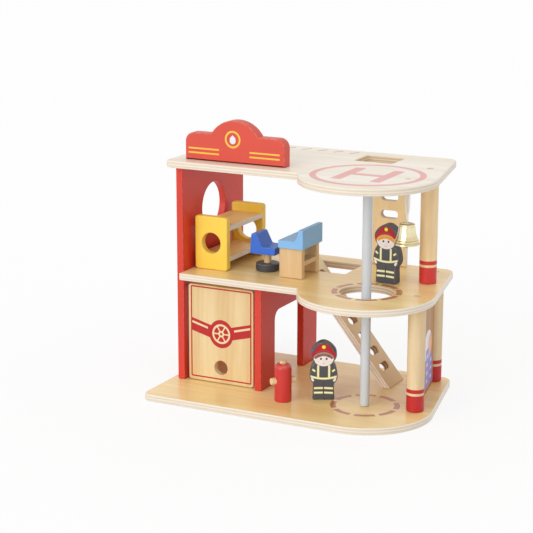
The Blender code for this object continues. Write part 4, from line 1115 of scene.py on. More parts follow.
@dataclass(frozen=True)
class CottonFinish(Finish):
    """Twisted cotton with a matt, fibrous surface and a soft sheen."""

    constants = {"Sheen Weight": 0.3, "Specular IOR Level": 0.2}
    colour: Colour = srgb(252, 249, 240)
    fibre_colour: Colour = srgb(238, 232, 218)

    def base(self, g: Graph, shop: Workshop) -> Layers:
        """Returns the fibre's colour, roughness and height.

        Args:
            g: The material's graph.
            shop: The shared node groups.

        Returns:
            The three of them, as sockets or constants.
        """
        fibre = g.noise(g.attribute("grain", True), 5200.0, 3, 0.7)
        tint = g.mix(g.times(fibre, 0.3), self.colour, self.fibre_colour)
        return tint, g.times(fibre, 0.1, self.roughness), fibre


def show(name: str, data: object) -> bpy.types.Object:
    """Puts an object with its data into the scene and returns it.

    Args:
        name: The object's name.
        data: Its mesh, light or camera.

    Returns:
        The new object.
    """
    item = bpy.data.objects.new(name, data)
    bpy.context.scene.collection.objects.link(item)
    return item


def span(node: str) -> tuple[Array, Array]:
    """Returns a solid's lowest and highest corner as arrays."""
    low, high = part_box(node)
    return np.array(low), np.array(high)


def middle(node: str) -> Array:
    """Returns the middle of a solid's box."""
    low, high = span(node)
    return (low + high) / 2


@dataclass(frozen=True)
class Piece:
    """A visible piece: its name, the solid that it stands for, its body, slot, finish and grain."""

    name: str
    node: str
    body: str
    slot: str
    finish: Finish
    grain: Grain = Grain.ALONG_Y


class Bench:
    """Turns surfaces into finished pieces and counts them."""

    def __init__(self) -> None:
        """Builds the shared node groups."""
        self.shop = Workshop()
        self.count = 0

    def publish(self, piece: Piece, surface: Surface, axes: object, origin: object) -> None:
        """Puts one piece into the scene at the origin, its place in its mesh.

        Args:
            piece: What it is.
            surface: Its mesh arrays in its own axes.
            axes: The directions of those axes in the row frame.
            origin: Where its own origin goes.
        """
        surface.moved(axes, origin)
        mesh = bpy.data.meshes.new(piece.name)
        faces = [face[:3] if face[3] < 0 else face for face in surface.faces.tolist()]
        mesh.from_pydata(surface.points.tolist(), [], faces)
        mesh.shade_smooth()
        if surface.smooth:
            mesh.normals_split_custom_set_from_vertices(surface.normals.tolist())
        else:
            mesh.set_sharp_from_angle(angle=SHARP_ANGLE)
        self.count += 1
        grain = surface.local[:, piece.grain.value] + np.array(GRAIN_STEP) * self.count
        for label, values in (("local", surface.local), ("grain", grain)):
            made = mesh.attributes.new(label, "FLOAT_VECTOR", "POINT")
            made.data.foreach_set("vector", values.astype(np.float32).ravel())
        for label in ("edge", "depth", "rim"):
            made = mesh.attributes.new(label, "FLOAT", "POINT")
            made.data.foreach_set("value", getattr(surface, label).astype(np.float32))
        mesh.materials.append(piece.finish.material(self.shop))
        item = show(piece.name, mesh)
        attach(item, piece.body)
        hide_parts(piece.node)
        LOG.info("%s: %d faces on %s", piece.name, len(faces), piece.body)

    def slab(
        self,
        piece: Piece,
        facing: Facing,
        outline: Array,
        rounding: float,
        holes: list[Array] | None = None,
        hole_roundings: tuple[float, ...] = (),
    ) -> None:
        """Builds a board between its solid's two faces.

        Args:
            piece: What it is.
            facing: Where its faces look.
            outline: Its outer loop.
            rounding: Radius of its edges.
            holes: Loops cut through it.
            hole_roundings: Radius of each hole's edge, where it differs.
        """
        low, high = span(piece.node)
        across = np.abs(facing.value[2])
        thickness = float((high - low) @ across)
        shape = board(outline, holes or [], thickness, rounding, hole_roundings)
        self.publish(piece, shape, facing.value, (low + high) / 2 * across)

    def plate(
        self,
        piece: Piece,
        facing: Facing,
        corner: float,
        rounding: float,
        steps: int = 3,
        **cuts: object,
    ) -> None:
        """Builds a slab with the rectangle that its solid's box shows from one side.

        Args:
            piece: What it is.
            facing: Where its faces look.
            corner: Radius of its corners.
            rounding: Radius of its edges.
            steps: Chords in each corner.
            cuts: Its holes; and margin, how far its ends stay back along its own x.
        """
        axes = [int(np.abs(row).argmax()) for row in facing.value[:2]]
        low, high = (point[axes] for point in span(piece.node))
        margin = cuts.pop("margin", 0.0)
        low, high = (low[0] + margin, low[1]), (high[0] - margin, high[1])
        self.slab(piece, facing, rectangle(low, high, corner, steps), rounding, **cuts)

    def spin(
        self, piece: Piece, shape: Surface, height: float | None = None, axes: object = UPRIGHT
    ) -> None:
        """Places a turned shape on the middle line of its solid's box.

        Args:
            piece: What it is.
            shape: The turned shape.
            height: Where the shape's own zero goes; the middle of the box if left out.
            axes: The directions of the shape's own axes.
        """
        origin = middle(piece.node)
        if height is not None:
            origin[2] = height
        self.publish(piece, shape, axes, origin)

    def rod(self, piece: Piece, edges: Place, chords: int, steps: int, standing: bool = False) -> None:
        """Builds a straight rod that fills its solid's box.

        Args:
            piece: What it is.
            edges: Radius of the rounding at its top and at its bottom.
            chords: Chords in each rounding.
            steps: Chords round the axis.
            standing: Whether its grain is read from its foot instead of its middle.
        """
        low, high = span(piece.node)
        tall = high[2] - low[2]
        foot = 0.0 if standing else -tall / 2
        shape = rod((high[0] - low[0]) / 2, tall, edges, chords, steps, foot)
        self.spin(piece, shape, low[2] if standing else None)


RED = srgb(216, 54, 34)
PRINT_RED = srgb(184, 14, 22)
PALE = srgb(238, 218, 172)
YELLOW = srgb(246, 200, 70)
PINE = WoodFinish("solid_pine", 0.45, light=srgb(242, 216, 172), dark=srgb(218, 178, 126), figure=0.9)
BEECH = WoodFinish("solid_beech", 0.48, light=srgb(236, 206, 158), dark=srgb(206, 166, 116), figure=0.9)
RED_PAINT = PaintFinish("red_lacquer", 0.42, colour=RED)
YELLOW_PAINT = PaintFinish("yellow_lacquer", 0.42, colour=srgb(250, 210, 74))
BLUE_PAINT = PaintFinish("blue_lacquer", 0.40, colour=srgb(42, 104, 212))
SKY_PAINT = PaintFinish("sky_lacquer", 0.42, colour=srgb(132, 188, 238))
GREY_PAINT = PaintFinish("grey_lacquer", 0.38, colour=srgb(204, 210, 216))
CHARCOAL_PAINT = PaintFinish("charcoal_lacquer", 0.45, colour=srgb(62, 64, 70))
HYDRANT_PAINT = PaintFinish("hydrant_lacquer", 0.34, colour=srgb(206, 48, 44))
BRASS = MetalFinish("bell_brass_polish", 0.07, bump=0.05, colour=srgb(240, 231, 192), waves=14.0)
STEEL_TONES = {"colour": srgb(186, 188, 192), "shade": srgb(150, 152, 156)}
STEEL = MetalFinish("zinc_steel", 0.3, bump=0.08, **STEEL_TONES)
COTTON = CottonFinish("cotton_twist", 0.85, bump=0.4)
BASE_SCREWS = (
    "screw_left_wall_front",
    "screw_left_wall_rear",
    "screw_garage_wall_front",
    "screw_garage_wall_rear",
    "screw_front_post_foot",
    "screw_back_post_foot",
    "screw_pole_foot",
)


@dataclass
class Decks:
    """The three plywood decks, which share their right side and back edge."""

    pole_hole: float = 0.0334
    front_overhang: float = 0.0135
    corner: float = 0.011
    small_corner: float = 0.003
    back_corner: float = 0.016
    edge: float = 0.0016
    pole_hole_edge: float = 0.0006
    opening_edge: float = 0.001
    fastener_edge: float = 0.0003
    screw_hole: float = 0.0036
    plug_hole: float = 0.0043
    peg_hole: float = 0.0032
    stair_from_wall: float = 0.0129
    stair_width: float = 0.0662
    stair_gap: float = 0.0043
    hatch_from_stair: float = 0.0694
    hatch_to_ladder: float = 0.0081
    hatch_size: Place = (0.0522, 0.0452)
    mark_line: float = 0.00685
    dash_half: Place = (0.0023, 0.0075)
    dash_pitch: float = 0.02275

    def build(self, bench: Bench) -> None:
        """Builds the base, the middle floor and the roof.

        Args:
            bench: Where the pieces are made.
        """
        low, high = span("roof_deck")
        pole = middle("slide_pole")
        self.pole = (float(pole[0]), float(pole[1]))
        self.nose = float(high[0] - pole[0])
        self.left, self.back = float(low[0]), float(high[1])
        self.front = float(span("left_wall")[0][1]) - self.front_overhang
        self.stair = float(span("garage_wall")[1][0]) + self.stair_from_wall
        self._base(bench)
        self._floor(bench)
        self._roof(bench)

    def _side(self, last_angle: float) -> Array:
        """Returns the back right corner, the slanted side and the nose up to an angle.

        Args:
            last_angle: Where the nose arc ends.

        Returns:
            The points in order.
        """
        normal = np.array((math.cos(SLANT), math.sin(SLANT)))
        along = np.array((-math.sin(SLANT), math.cos(SLANT)))
        tangent = np.array(self.pole) + normal * self.nose
        corner = tangent + along * ((self.back - tangent[1]) / along[1])
        back = fillet((self.pole[0], self.back), corner, tangent, self.back_corner, 16)
        return np.concatenate((back, arc(self.pole, self.nose, SLANT, last_angle, 110)))

    def _upper(self, left: float, front_corner: float) -> Array:
        """Returns the outline of a deck whose front edge steps into the nose.

        Args:
            left: Where its left edge stands.
            front_corner: Radius of its two left corners.

        Returns:
            The outline.
        """
        angle = -math.pi + math.asin((self.pole[1] - self.front) / self.nose)
        side = self._side(angle)
        junction = (self.pole[0] + self.nose * math.cos(angle), self.front)
        near, far = (left, self.front), (left, self.back)
        step = fillet(side[-2], junction, near, self.small_corner, 8)
        near_corner = fillet(junction, near, far, front_corner, 12)
        far_corner = fillet(near, far, (junction[0], self.back), front_corner, 12)
        return np.concatenate((side[:-3], step, near_corner, far_corner))

    def _deck(
        self,
        bench: Bench,
        piece: Piece,
        outline: Array,
        openings: list[tuple[Array, float]],
        fasteners: dict[str, float],
    ) -> None:
        """Builds one deck with its openings.

        Args:
            bench: Where the piece is made.
            piece: What it is.
            outline: Its outer loop.
            openings: Its large openings, each with the radius of its edge.
            fasteners: Radius of the hole for each fastener that crosses it.
        """
        loops = [loop for loop, _ in openings]
        loops += [circle(tuple(middle(node)[:2]), radius, 32) for node, radius in fasteners.items()]
        edges = tuple(edge for _, edge in openings) + (self.fastener_edge,) * len(fasteners)
        bench.slab(piece, Facing.LEVEL, outline, self.edge, loops, edges)

    def _ringed(self, name: str) -> WoodFinish:
        """Returns a deck's finish with the dashed ring round the pole.

        Args:
            name: The finish's name.

        Returns:
            The finish.
        """
        centre = (self.pole[0], self.pole[1] + 0.0015)
        ring = RingInk(centre, srgb(176, 80, 52), 0.84, 0.0401, 0.0072, 8, 0.82)
        return WoodFinish(name, 0.36, (ring,), layers=5, coat=0.45)

    def _base(self, bench: Bench) -> None:
        """Builds the ground deck with its dashed landing ring.

        Args:
            bench: Where the piece is made.
        """
        side = self._side(-math.pi / 2)
        near, far = (self.left, float(span("base_plate")[0][1])), (self.left, self.back)
        near_corner = fillet(side[-1], near, far, self.corner, 12)
        far_corner = fillet(near, far, (self.pole[0], self.back), self.corner, 12)
        outline = np.concatenate((side, near_corner, far_corner))
        finish = self._ringed("birch_ground")
        piece = Piece("base_board", "base_plate", "station", "birch_ply", finish, Grain.ALONG_X)
        self._deck(bench, piece, outline, [], dict.fromkeys(BASE_SCREWS, self.screw_hole))

    def _floor(self, bench: Bench) -> None:
        """Builds the middle floor with the pole hole and the stair opening.

        Args:
            bench: Where the piece is made.
        """
        low, high = span("lower_ladder")
        near = (self.stair, float(low[1]) - self.stair_gap)
        far = (self.stair + self.stair_width, float(high[1]) + self.stair_gap)
        openings = [
            (circle(self.pole, self.pole_hole, 144), self.pole_hole_edge),
            (rectangle(near, far, self.small_corner), self.opening_edge),
        ]
        fasteners = dict.fromkeys(("plug_front_post", "plug_back_post"), self.plug_hole)
        fasteners["screw_upper_post_foot"] = self.screw_hole
        node, finish = "middle_floor", self._ringed("birch_floor")
        outline = self._upper(float(span(node)[0][0]), self.small_corner)
        piece = Piece(node + "_board", node, "station", "birch_ply", finish, Grain.ALONG_X)
        self._deck(bench, piece, outline, openings, fasteners)

    def _roof(self, bench: Bench) -> None:
        """Builds the roof with its hatch and its landing mark.

        Args:
            bench: Where the piece is made.
        """
        left = self.stair + self.hatch_from_stair
        back = float(span("upper_ladder")[0][1]) - self.hatch_to_ladder
        wide, deep = self.hatch_size
        hatch = rectangle((left, back - deep), (left + wide, back), self.small_corner)
        rose = srgb(222, 92, 100)
        x, y = self.pole
        inks: list[Ink] = [RingInk((x - 0.0018, y + 0.003), rose, 0.66, 0.067, 0.008)]
        for shift, rise, half in (
            (-0.0276, 0.0033, (self.mark_line, 0.04)),
            (0.0234, 0.0033, (self.mark_line, 0.04)),
            (-0.0021, 0.0025, (0.0187, 0.006)),
        ):
            inks.append(BoxInk((x + shift, y + rise), rose, 0.66, half))
        for place in 0.0138 - self.dash_pitch * np.arange(6):
            centre = (float(place), self.back - 0.0193)
            inks.append(BoxInk(centre, PRINT_RED, 0.6, self.dash_half, -32))
        pale = {"light": srgb(250, 243, 232), "dark": srgb(232, 216, 188)}
        finish = WoodFinish("birch_roof", 0.42, tuple(inks), layers=5, figure=0.85, coat=0.3, **pale)
        piece = Piece("roof_board", "roof_deck", "station", "pale_birch", finish, Grain.ALONG_X)
        fasteners = {"plug_upper_post": self.plug_hole, "bell_peg": self.peg_hole}
        openings = [(hatch, self.opening_edge)]
        self._deck(bench, piece, self._upper(self.left, self.corner), openings, fasteners)


@dataclass
class Walls:
    """The tall left wall, the garage wall and the arched sign board."""

    corner: float = 0.0006
    rounding: float = 0.0009
    window_radius: float = 0.0314
    window_height: float = 0.0716
    front_leg: float = 0.0395
    rear_leg: float = 0.042
    doorway_height: float = 0.0971
    doorway_corner: float = 0.013
    shoulder: float = 0.0351
    half_chord: float = 0.0333
    shoulder_corner: float = 0.012
    arch_corner: float = 0.001
    sign_rounding: float = 0.0016
    stripe_heights: Place = (0.0097, 0.0153)
    stripe_half: float = 0.001

    def build(self, bench: Bench) -> None:
        """Builds both walls and the sign.

        Args:
            bench: Where the pieces are made.
        """
        self._left(bench)
        self._garage(bench)
        self._sign(bench)

    def _left(self, bench: Bench) -> None:
        """Builds the wall with the round window.

        Args:
            bench: Where the piece is made.
        """
        height = float(span("middle_floor")[1][2]) + self.window_height
        window = circle((middle("left_wall")[1], height), self.window_radius, 144)
        piece = Piece("left_wall_board", "left_wall", "station", "red_wood", RED_PAINT)
        bench.plate(piece, Facing.SIDE, self.corner, self.rounding, holes=[window])

    def _garage(self, bench: Bench) -> None:
        """Builds the wall with the doorway, as two legs under a lintel.

        Args:
            bench: Where the piece is made.
        """
        piece = Piece("garage_wall_board", "garage_wall", "station", "red_wood", RED_PAINT)
        low, high = span(piece.node)
        top = low[2] - FIT + self.doorway_height
        front, rear = low[1] + self.front_leg, high[1] - self.rear_leg
        edge, round_top = self.corner, self.doorway_corner
        corners = [(low[1], low[2], edge), (front, low[2], edge), (front, top, round_top)]
        corners += [(rear, top, round_top), (rear, low[2], edge), (high[1], low[2], edge)]
        corners += [(high[1], high[2], edge), (low[1], high[2], edge)]
        bench.slab(piece, Facing.SIDE, rounded(corners, 12), self.rounding)

    def _sign(self, bench: Bench) -> None:
        """Builds the arched sign with its stripes and a plain drop in a ring.

        Args:
            bench: Where the piece is made.
        """
        low, high = span("roof_sign")
        roof, left, right = low[2] - FIT, low[0], high[0]
        centre, shoulder = (left + right) / 2, roof + self.shoulder
        rise = high[2] - shoulder
        radius = (self.half_chord**2 + rise**2) / (2 * rise)
        sweep, upward = math.asin(self.half_chord / radius), math.pi / 2
        arch = arc((centre, high[2] - radius), radius, upward - sweep, upward + sweep, 48)
        outline = [(left, low[2], self.corner, 3), (right, low[2], self.corner, 3)]
        outline += [(right, shoulder, self.shoulder_corner, 14), (*arch[0], self.arch_corner, 4)]
        outline += [(*point, 0) for point in arch[1:-1]]
        outline += [(*arch[-1], self.arch_corner, 4), (left, shoulder, self.shoulder_corner, 14)]
        inks: list[Ink] = []
        for height in self.stripe_heights:
            for x, half in ((left + 0.0265, 0.0218), (right - 0.0276, 0.021)):
                inks.append(BoxInk((x, roof + height), YELLOW, 0.95, (half, self.stripe_half)))
        x, y = centre - 0.0022, roof + 0.030
        silver = srgb(225, 232, 238)
        inks.append(RingInk((x, y), YELLOW, 0.95, 0.0098, 0.0024))
        inks.append(EllipseInk((x, y - 0.0016), silver, 0.95, (0.0042, 0.0042)))
        inks.append(BoxInk((x, y + 0.0012), silver, 0.95, (0.0031, 0.0031), 45, 0.0006))
        # Painted sheen: the sign's red is paler than the walls' red, standing in for the gloss on its
        # front.
        finish = PaintFinish("red_sign_lacquer", 0.42, tuple(inks), colour=srgb(216, 74, 54))
        piece = Piece("roof_sign_board", "roof_sign", "station", "red_wood", finish, Grain.ALONG_X)
        bench.slab(piece, Facing.FRONT, rounded(outline), self.sign_rounding)


@dataclass
class GarageDoor:
    """The up-and-over door with its printed border, bands and badge."""

    corner: float = 0.004
    rounding: float = 0.0009
    hole_radius: float = 0.0095
    hole_height: float = 0.0205
    print_shift: float = 0.0004
    border: float = 0.0040
    border_line: float = 0.0019
    frame_rise: float = 0.0012
    band_half: float = 0.0086
    band_slope: float = 0.262
    band_rise: float = -0.0021
    stripe_half: float = 0.0014
    stripe_rise: float = 0.0031
    stripe_gap: float = 0.0016
    badge_radius: float = 0.0176
    badge_height: float = 0.0662
    wheel_radius: float = 0.0118

    def build(self, bench: Bench) -> None:
        """Builds the door leaf; its pins keep their solids under a steel finish.

        Args:
            bench: Where the pieces are made.
        """
        low, high = span("garage_door")
        middle_x = (low[0] + high[0]) / 2
        hole = circle((middle_x, low[2] + self.hole_height), self.hole_radius, 72)
        badge = (middle_x + self.print_shift + 0.0003, low[2] + self.badge_height)
        prints = self._frame(low, high) + self._wheel(badge)
        tones = {"light": srgb(236, 214, 166), "dark": srgb(216, 180, 124)}
        finish = WoodFinish("pine_door", 0.42, tuple(prints), **tones)
        piece = Piece("garage_door_leaf", "garage_door", "garage_door", "pine", finish)
        bench.plate(piece, Facing.FRONT, self.corner, self.rounding, 10, holes=[hole])

    def _frame(self, low: Array, high: Array) -> list[Ink]:
        """Returns the border, and on each side a sloping band with its stripe.

        Args:
            low: The door's lowest corner.
            high: Its highest corner.

        Returns:
            The inks in order.
        """
        centre = (low[0] + high[0]) / 2 + self.print_shift
        half = (high[0] - low[0]) / 2 - self.border
        tall = (high[2] - low[2]) / 2 - self.border
        place = (centre, (low[2] + high[2]) / 2 + self.frame_rise)
        inks: list[Ink] = [BoxInk(place, PRINT_RED, 1.0, (half, tall), 0, 0.001, self.border_line)]
        foot = low[2] + self.badge_height + self.band_rise
        inner, outer = self.badge_radius + self.stripe_gap, half - 0.001
        for way in (-1, 1):
            slope = way * self.band_slope
            at = half / 2
            spot = (centre + way * at, foot + self.band_slope * at)
            inks.append(BoxInk(spot, PRINT_RED, 1.0, (at, self.band_half), slope=slope))
            at = (inner + outer) / 2
            spot = (centre + way * at, foot + self.stripe_rise + self.band_slope * at)
            size = ((outer - inner) / 2, self.stripe_half)
            inks.append(BoxInk(spot, PALE, 0.95, size, slope=slope))
        return inks

    def _wheel(self, centre: Place) -> list[Ink]:
        """Returns the plain wheel badge: a disc, a rim, three crossing spokes and a hub.

        Args:
            centre: The wheel's middle.

        Returns:
            Its printed shapes, the lowest first.
        """
        radius, wheel = self.badge_radius, self.wheel_radius
        inks: list[Ink] = [
            EllipseInk(centre, PRINT_RED, 1.0, (radius, radius + 0.0012)),
            RingInk(centre, PALE, 0.95, wheel, 0.0026),
            EllipseInk(centre, PALE, 0.95, (0.0042, 0.0042)),
        ]
        inks += [BoxInk(centre, PALE, 0.95, (wheel, 0.0009), angle) for angle in (0, 60, 120)]
        return inks + [EllipseInk(centre, PRINT_RED, 0.95, (0.0019, 0.0019))]


@dataclass
class Uprights:
    """The sliding pole, the three posts with their painted feet and the thin panel."""

    foot: float = 0.0212
    bare_ring: float = 0.0032
    thin_band: float = 0.005
    chamfer: float = 0.0008
    panel_thickness: float = 0.003
    panel_gap: float = 0.016
    window_pitch: float = 0.011
    towers: tuple[Corner, ...] = (
        (-0.040, 0.015, 0.058), (-0.016, 0.010, 0.044), (0.008, 0.013, 0.050), (0.034, 0.014, 0.036)
    )

    def build(self, bench: Bench) -> None:
        """Builds each upright and the panel.

        Args:
            bench: Where the pieces are made.
        """
        self._rod(bench, "slide_pole", GREY_PAINT, "grey_wood")
        lower = (srgb(242, 224, 186), srgb(218, 186, 140), srgb(190, 22, 30))
        upper = (srgb(250, 226, 180), srgb(222, 180, 126), srgb(206, 44, 44))
        posts = {"lower_front_post": lower, "lower_back_post": lower, "upper_post": upper}
        for node, tones in posts.items():
            self._rod(bench, node, self._post_finish(node, *tones), "pine")
        self._panel(bench)

    def _post_finish(self, node: str, light: Colour, dark: Colour, red: Colour) -> WoodFinish:
        """Returns a post's finish with its painted foot and thin band.

        Args:
            node: The post's solid.
            light: The wood's light tone.
            dark: Its dark tone.
            red: The paint.

        Returns:
            The finish.
        """
        low, high = span(node)
        bottom, wide = -(high[2] - low[2]) / 2, (high[0] - low[0]) / 2 * 4
        inks = []
        for start, tall in ((0.0, self.foot), (self.foot + self.bare_ring, self.thin_band)):
            inks.append(BoxInk((0.0, bottom + start + tall / 2), red, 1.0, (wide, tall / 2)))
        tones = {"light": light, "dark": dark, "figure": 1.25}
        return WoodFinish(node + "_wood", 0.4, tuple(inks), Side.ALL_ROUND, **tones)

    def _rod(self, bench: Bench, node: str, finish: Finish, slot: str) -> None:
        """Builds one round upright with chamfered ends.

        Args:
            bench: Where the piece is made.
            node: The solid that it stands for.
            finish: Its finish.
            slot: The record's material slot.
        """
        low, high = span(node)
        radius, half, cut = (high[0] - low[0]) / 2, (high[2] - low[2]) / 2, self.chamfer
        corners = [(0, half, 0), (radius - cut, half, 0), (radius, half - cut, cut)]
        corners += [(radius, -half + cut, cut), (radius - cut, -half, 0), (0, -half, 0)]
        piece = Piece(node + "_turned", node, "station", slot, finish)
        bench.spin(piece, turned(rounded(corners, 3, closed=False), 96))

    def _panel(self, bench: Bench) -> None:
        """Builds the thin panel with a plain town scene on its outer face.

        Args:
            bench: Where the piece is made.
        """
        front, back = middle("lower_front_post"), middle("lower_back_post")
        low, high = span("poster_panel")
        centre = (front + back) / 2
        half = (np.linalg.norm(back - front) - self.panel_gap) / 2
        height = high[2] - low[2]
        outline = rectangle((-half, -height / 2), (half, height / 2), 0.0004, 2)
        # Painted shade: the panel's wood is darker than the other wood, standing in for the shadow of
        # the middle floor above it.
        tones = {"light": srgb(196, 148, 98), "dark": srgb(166, 118, 72)}
        scene = tuple(self._town(half, -height / 2))
        finish = WoodFinish("birch_panel", 0.42, scene, layers=3, **tones)
        piece = Piece("poster_panel_board", "poster_panel", "station", "pine", finish)
        along = (-math.sin(SLANT), math.cos(SLANT), 0)
        outward = (math.cos(SLANT), math.sin(SLANT), 0)
        shape = board(outline, [], self.panel_thickness, 0.0003)
        origin = (centre[0], centre[1], (low[2] + high[2]) / 2)
        bench.publish(piece, shape, (along, (0, 0, 1), outward), origin)

    def _town(self, half: float, foot: float) -> list[Ink]:
        """Returns a plain scene: two clouds, two discs and four towers with windows.

        Args:
            half: Half of the panel's width.
            foot: Height of its lower edge.

        Returns:
            The inks in order.
        """
        blue, pale_blue, cloud = srgb(140, 138, 220), srgb(214, 218, 246), srgb(240, 240, 246)
        inks: list[Ink] = [
            BoxInk((0, foot + 0.0028), PRINT_RED, 0.95, (half, 0.0010)),
            EllipseInk((-0.026, foot + 0.066), cloud, 0.95, (0.022, 0.017)),
            EllipseInk((0.010, foot + 0.062), cloud, 0.95, (0.026, 0.020)),
            EllipseInk((-0.022, foot + 0.062), srgb(248, 222, 110), 0.9, (0.012, 0.012)),
            EllipseInk((0.026, foot + 0.060), srgb(240, 178, 150), 0.9, (0.014, 0.014)),
        ]
        for x, wide, tall in self.towers:
            size = (wide / 2 + 0.004, tall / 2)
            inks.append(BoxInk((x, foot + 0.008 + tall / 2), blue, 0.93, size))
            for row in range(int(tall / self.window_pitch)):
                spot = (x, foot + 0.015 + row * self.window_pitch)
                inks.append(BoxInk(spot, pale_blue, 0.93, (wide * 0.36, 0.0022), 0, 0.0006))
        return inks + [BoxInk((0, foot + 0.0085), blue, 0.93, (half, 0.0022))]


@dataclass
class Ladders:
    """The upright ladder board and the slanted one, both with oblong rungs."""

    corner: float = 0.0006
    rounding: float = 0.0007
    slot_length: float = 0.0238
    slot_height: float = 0.0104
    thickness: float = 0.0088
    slope: float = math.radians(51.1)
    first_slot: float = 0.0287
    last_slot: float = 0.0248
    end_slot: float = 0.0216
    sheared: float = 0.01

    def build(self, bench: Bench) -> None:
        """Builds both ladders.

        Args:
            bench: Where the pieces are made.
        """
        low, high = span("upper_ladder")
        foot = low[2] - FIT
        head = foot + (high[2] - low[2] + 2 * FIT)
        slots = self._slots((low[0] + high[0]) / 2, foot + self.end_slot, head - self.end_slot, 5)
        tones = {"light": srgb(255, 232, 182), "dark": srgb(242, 206, 150)}
        edges = {"edge_light": srgb(255, 248, 236), "edge_dark": srgb(176, 132, 84)}
        finish = WoodFinish("birch_ladder", 0.44, layers=5, figure=0.6, **tones, **edges)
        piece = Piece("upper_ladder_board", "upper_ladder", "station", "birch_ply", finish)
        bench.plate(piece, Facing.FRONT, self.corner, self.rounding, holes=slots)
        # Painted light: a lighter copy of the ladder's wood, making up for the shade under the middle
        # floor.
        tones = {"light": srgb(255, 240, 200), "dark": srgb(250, 222, 170)}
        self._lower(bench, replace(finish, name="birch_slanted_ladder", **tones))

    def _slots(self, x: float, first: float, last: float, count: int) -> list[Array]:
        """Returns evenly spaced slots, the first and last at the given heights."""
        places = np.linspace(first, last, count)
        return [oblong((x, float(place)), self.slot_length, self.slot_height) for place in places]

    def _lower(self, bench: Bench, finish: Finish) -> None:
        """Builds the slanted ladder; its foot is sheared so that it stands flat on the base.

        Args:
            bench: Where the piece is made.
            finish: Its finish.
        """
        piece = Piece("lower_ladder_board", "lower_ladder", "station", "birch_ply", finish)
        low, high = span(piece.node)
        half = (high[1] - low[1]) / 2
        uphill = np.array((-math.cos(self.slope), 0, math.sin(self.slope)))
        facing = np.array((math.sin(self.slope), 0, math.cos(self.slope)))
        foot = np.array((high[0], (low[1] + high[1]) / 2, low[2]))
        length = (high[2] - low[2]) / math.sin(self.slope)
        slots = self._slots(0, self.first_slot, length - self.last_slot, 7)
        outline = rectangle((-half, 0), (half, length), self.corner, 3)
        shape = board(outline, slots, self.thickness, self.rounding)
        near = np.clip(1 - shape.points[:, 1] / self.sheared, 0, 1)
        lift = (self.thickness / 2 - shape.points[:, 2]) / math.tan(self.slope)
        shape.points[:, 1] += near * lift
        axes = (np.cross(uphill, facing), uphill, facing)
        bench.publish(piece, shape, axes, foot - facing * self.thickness / 2)


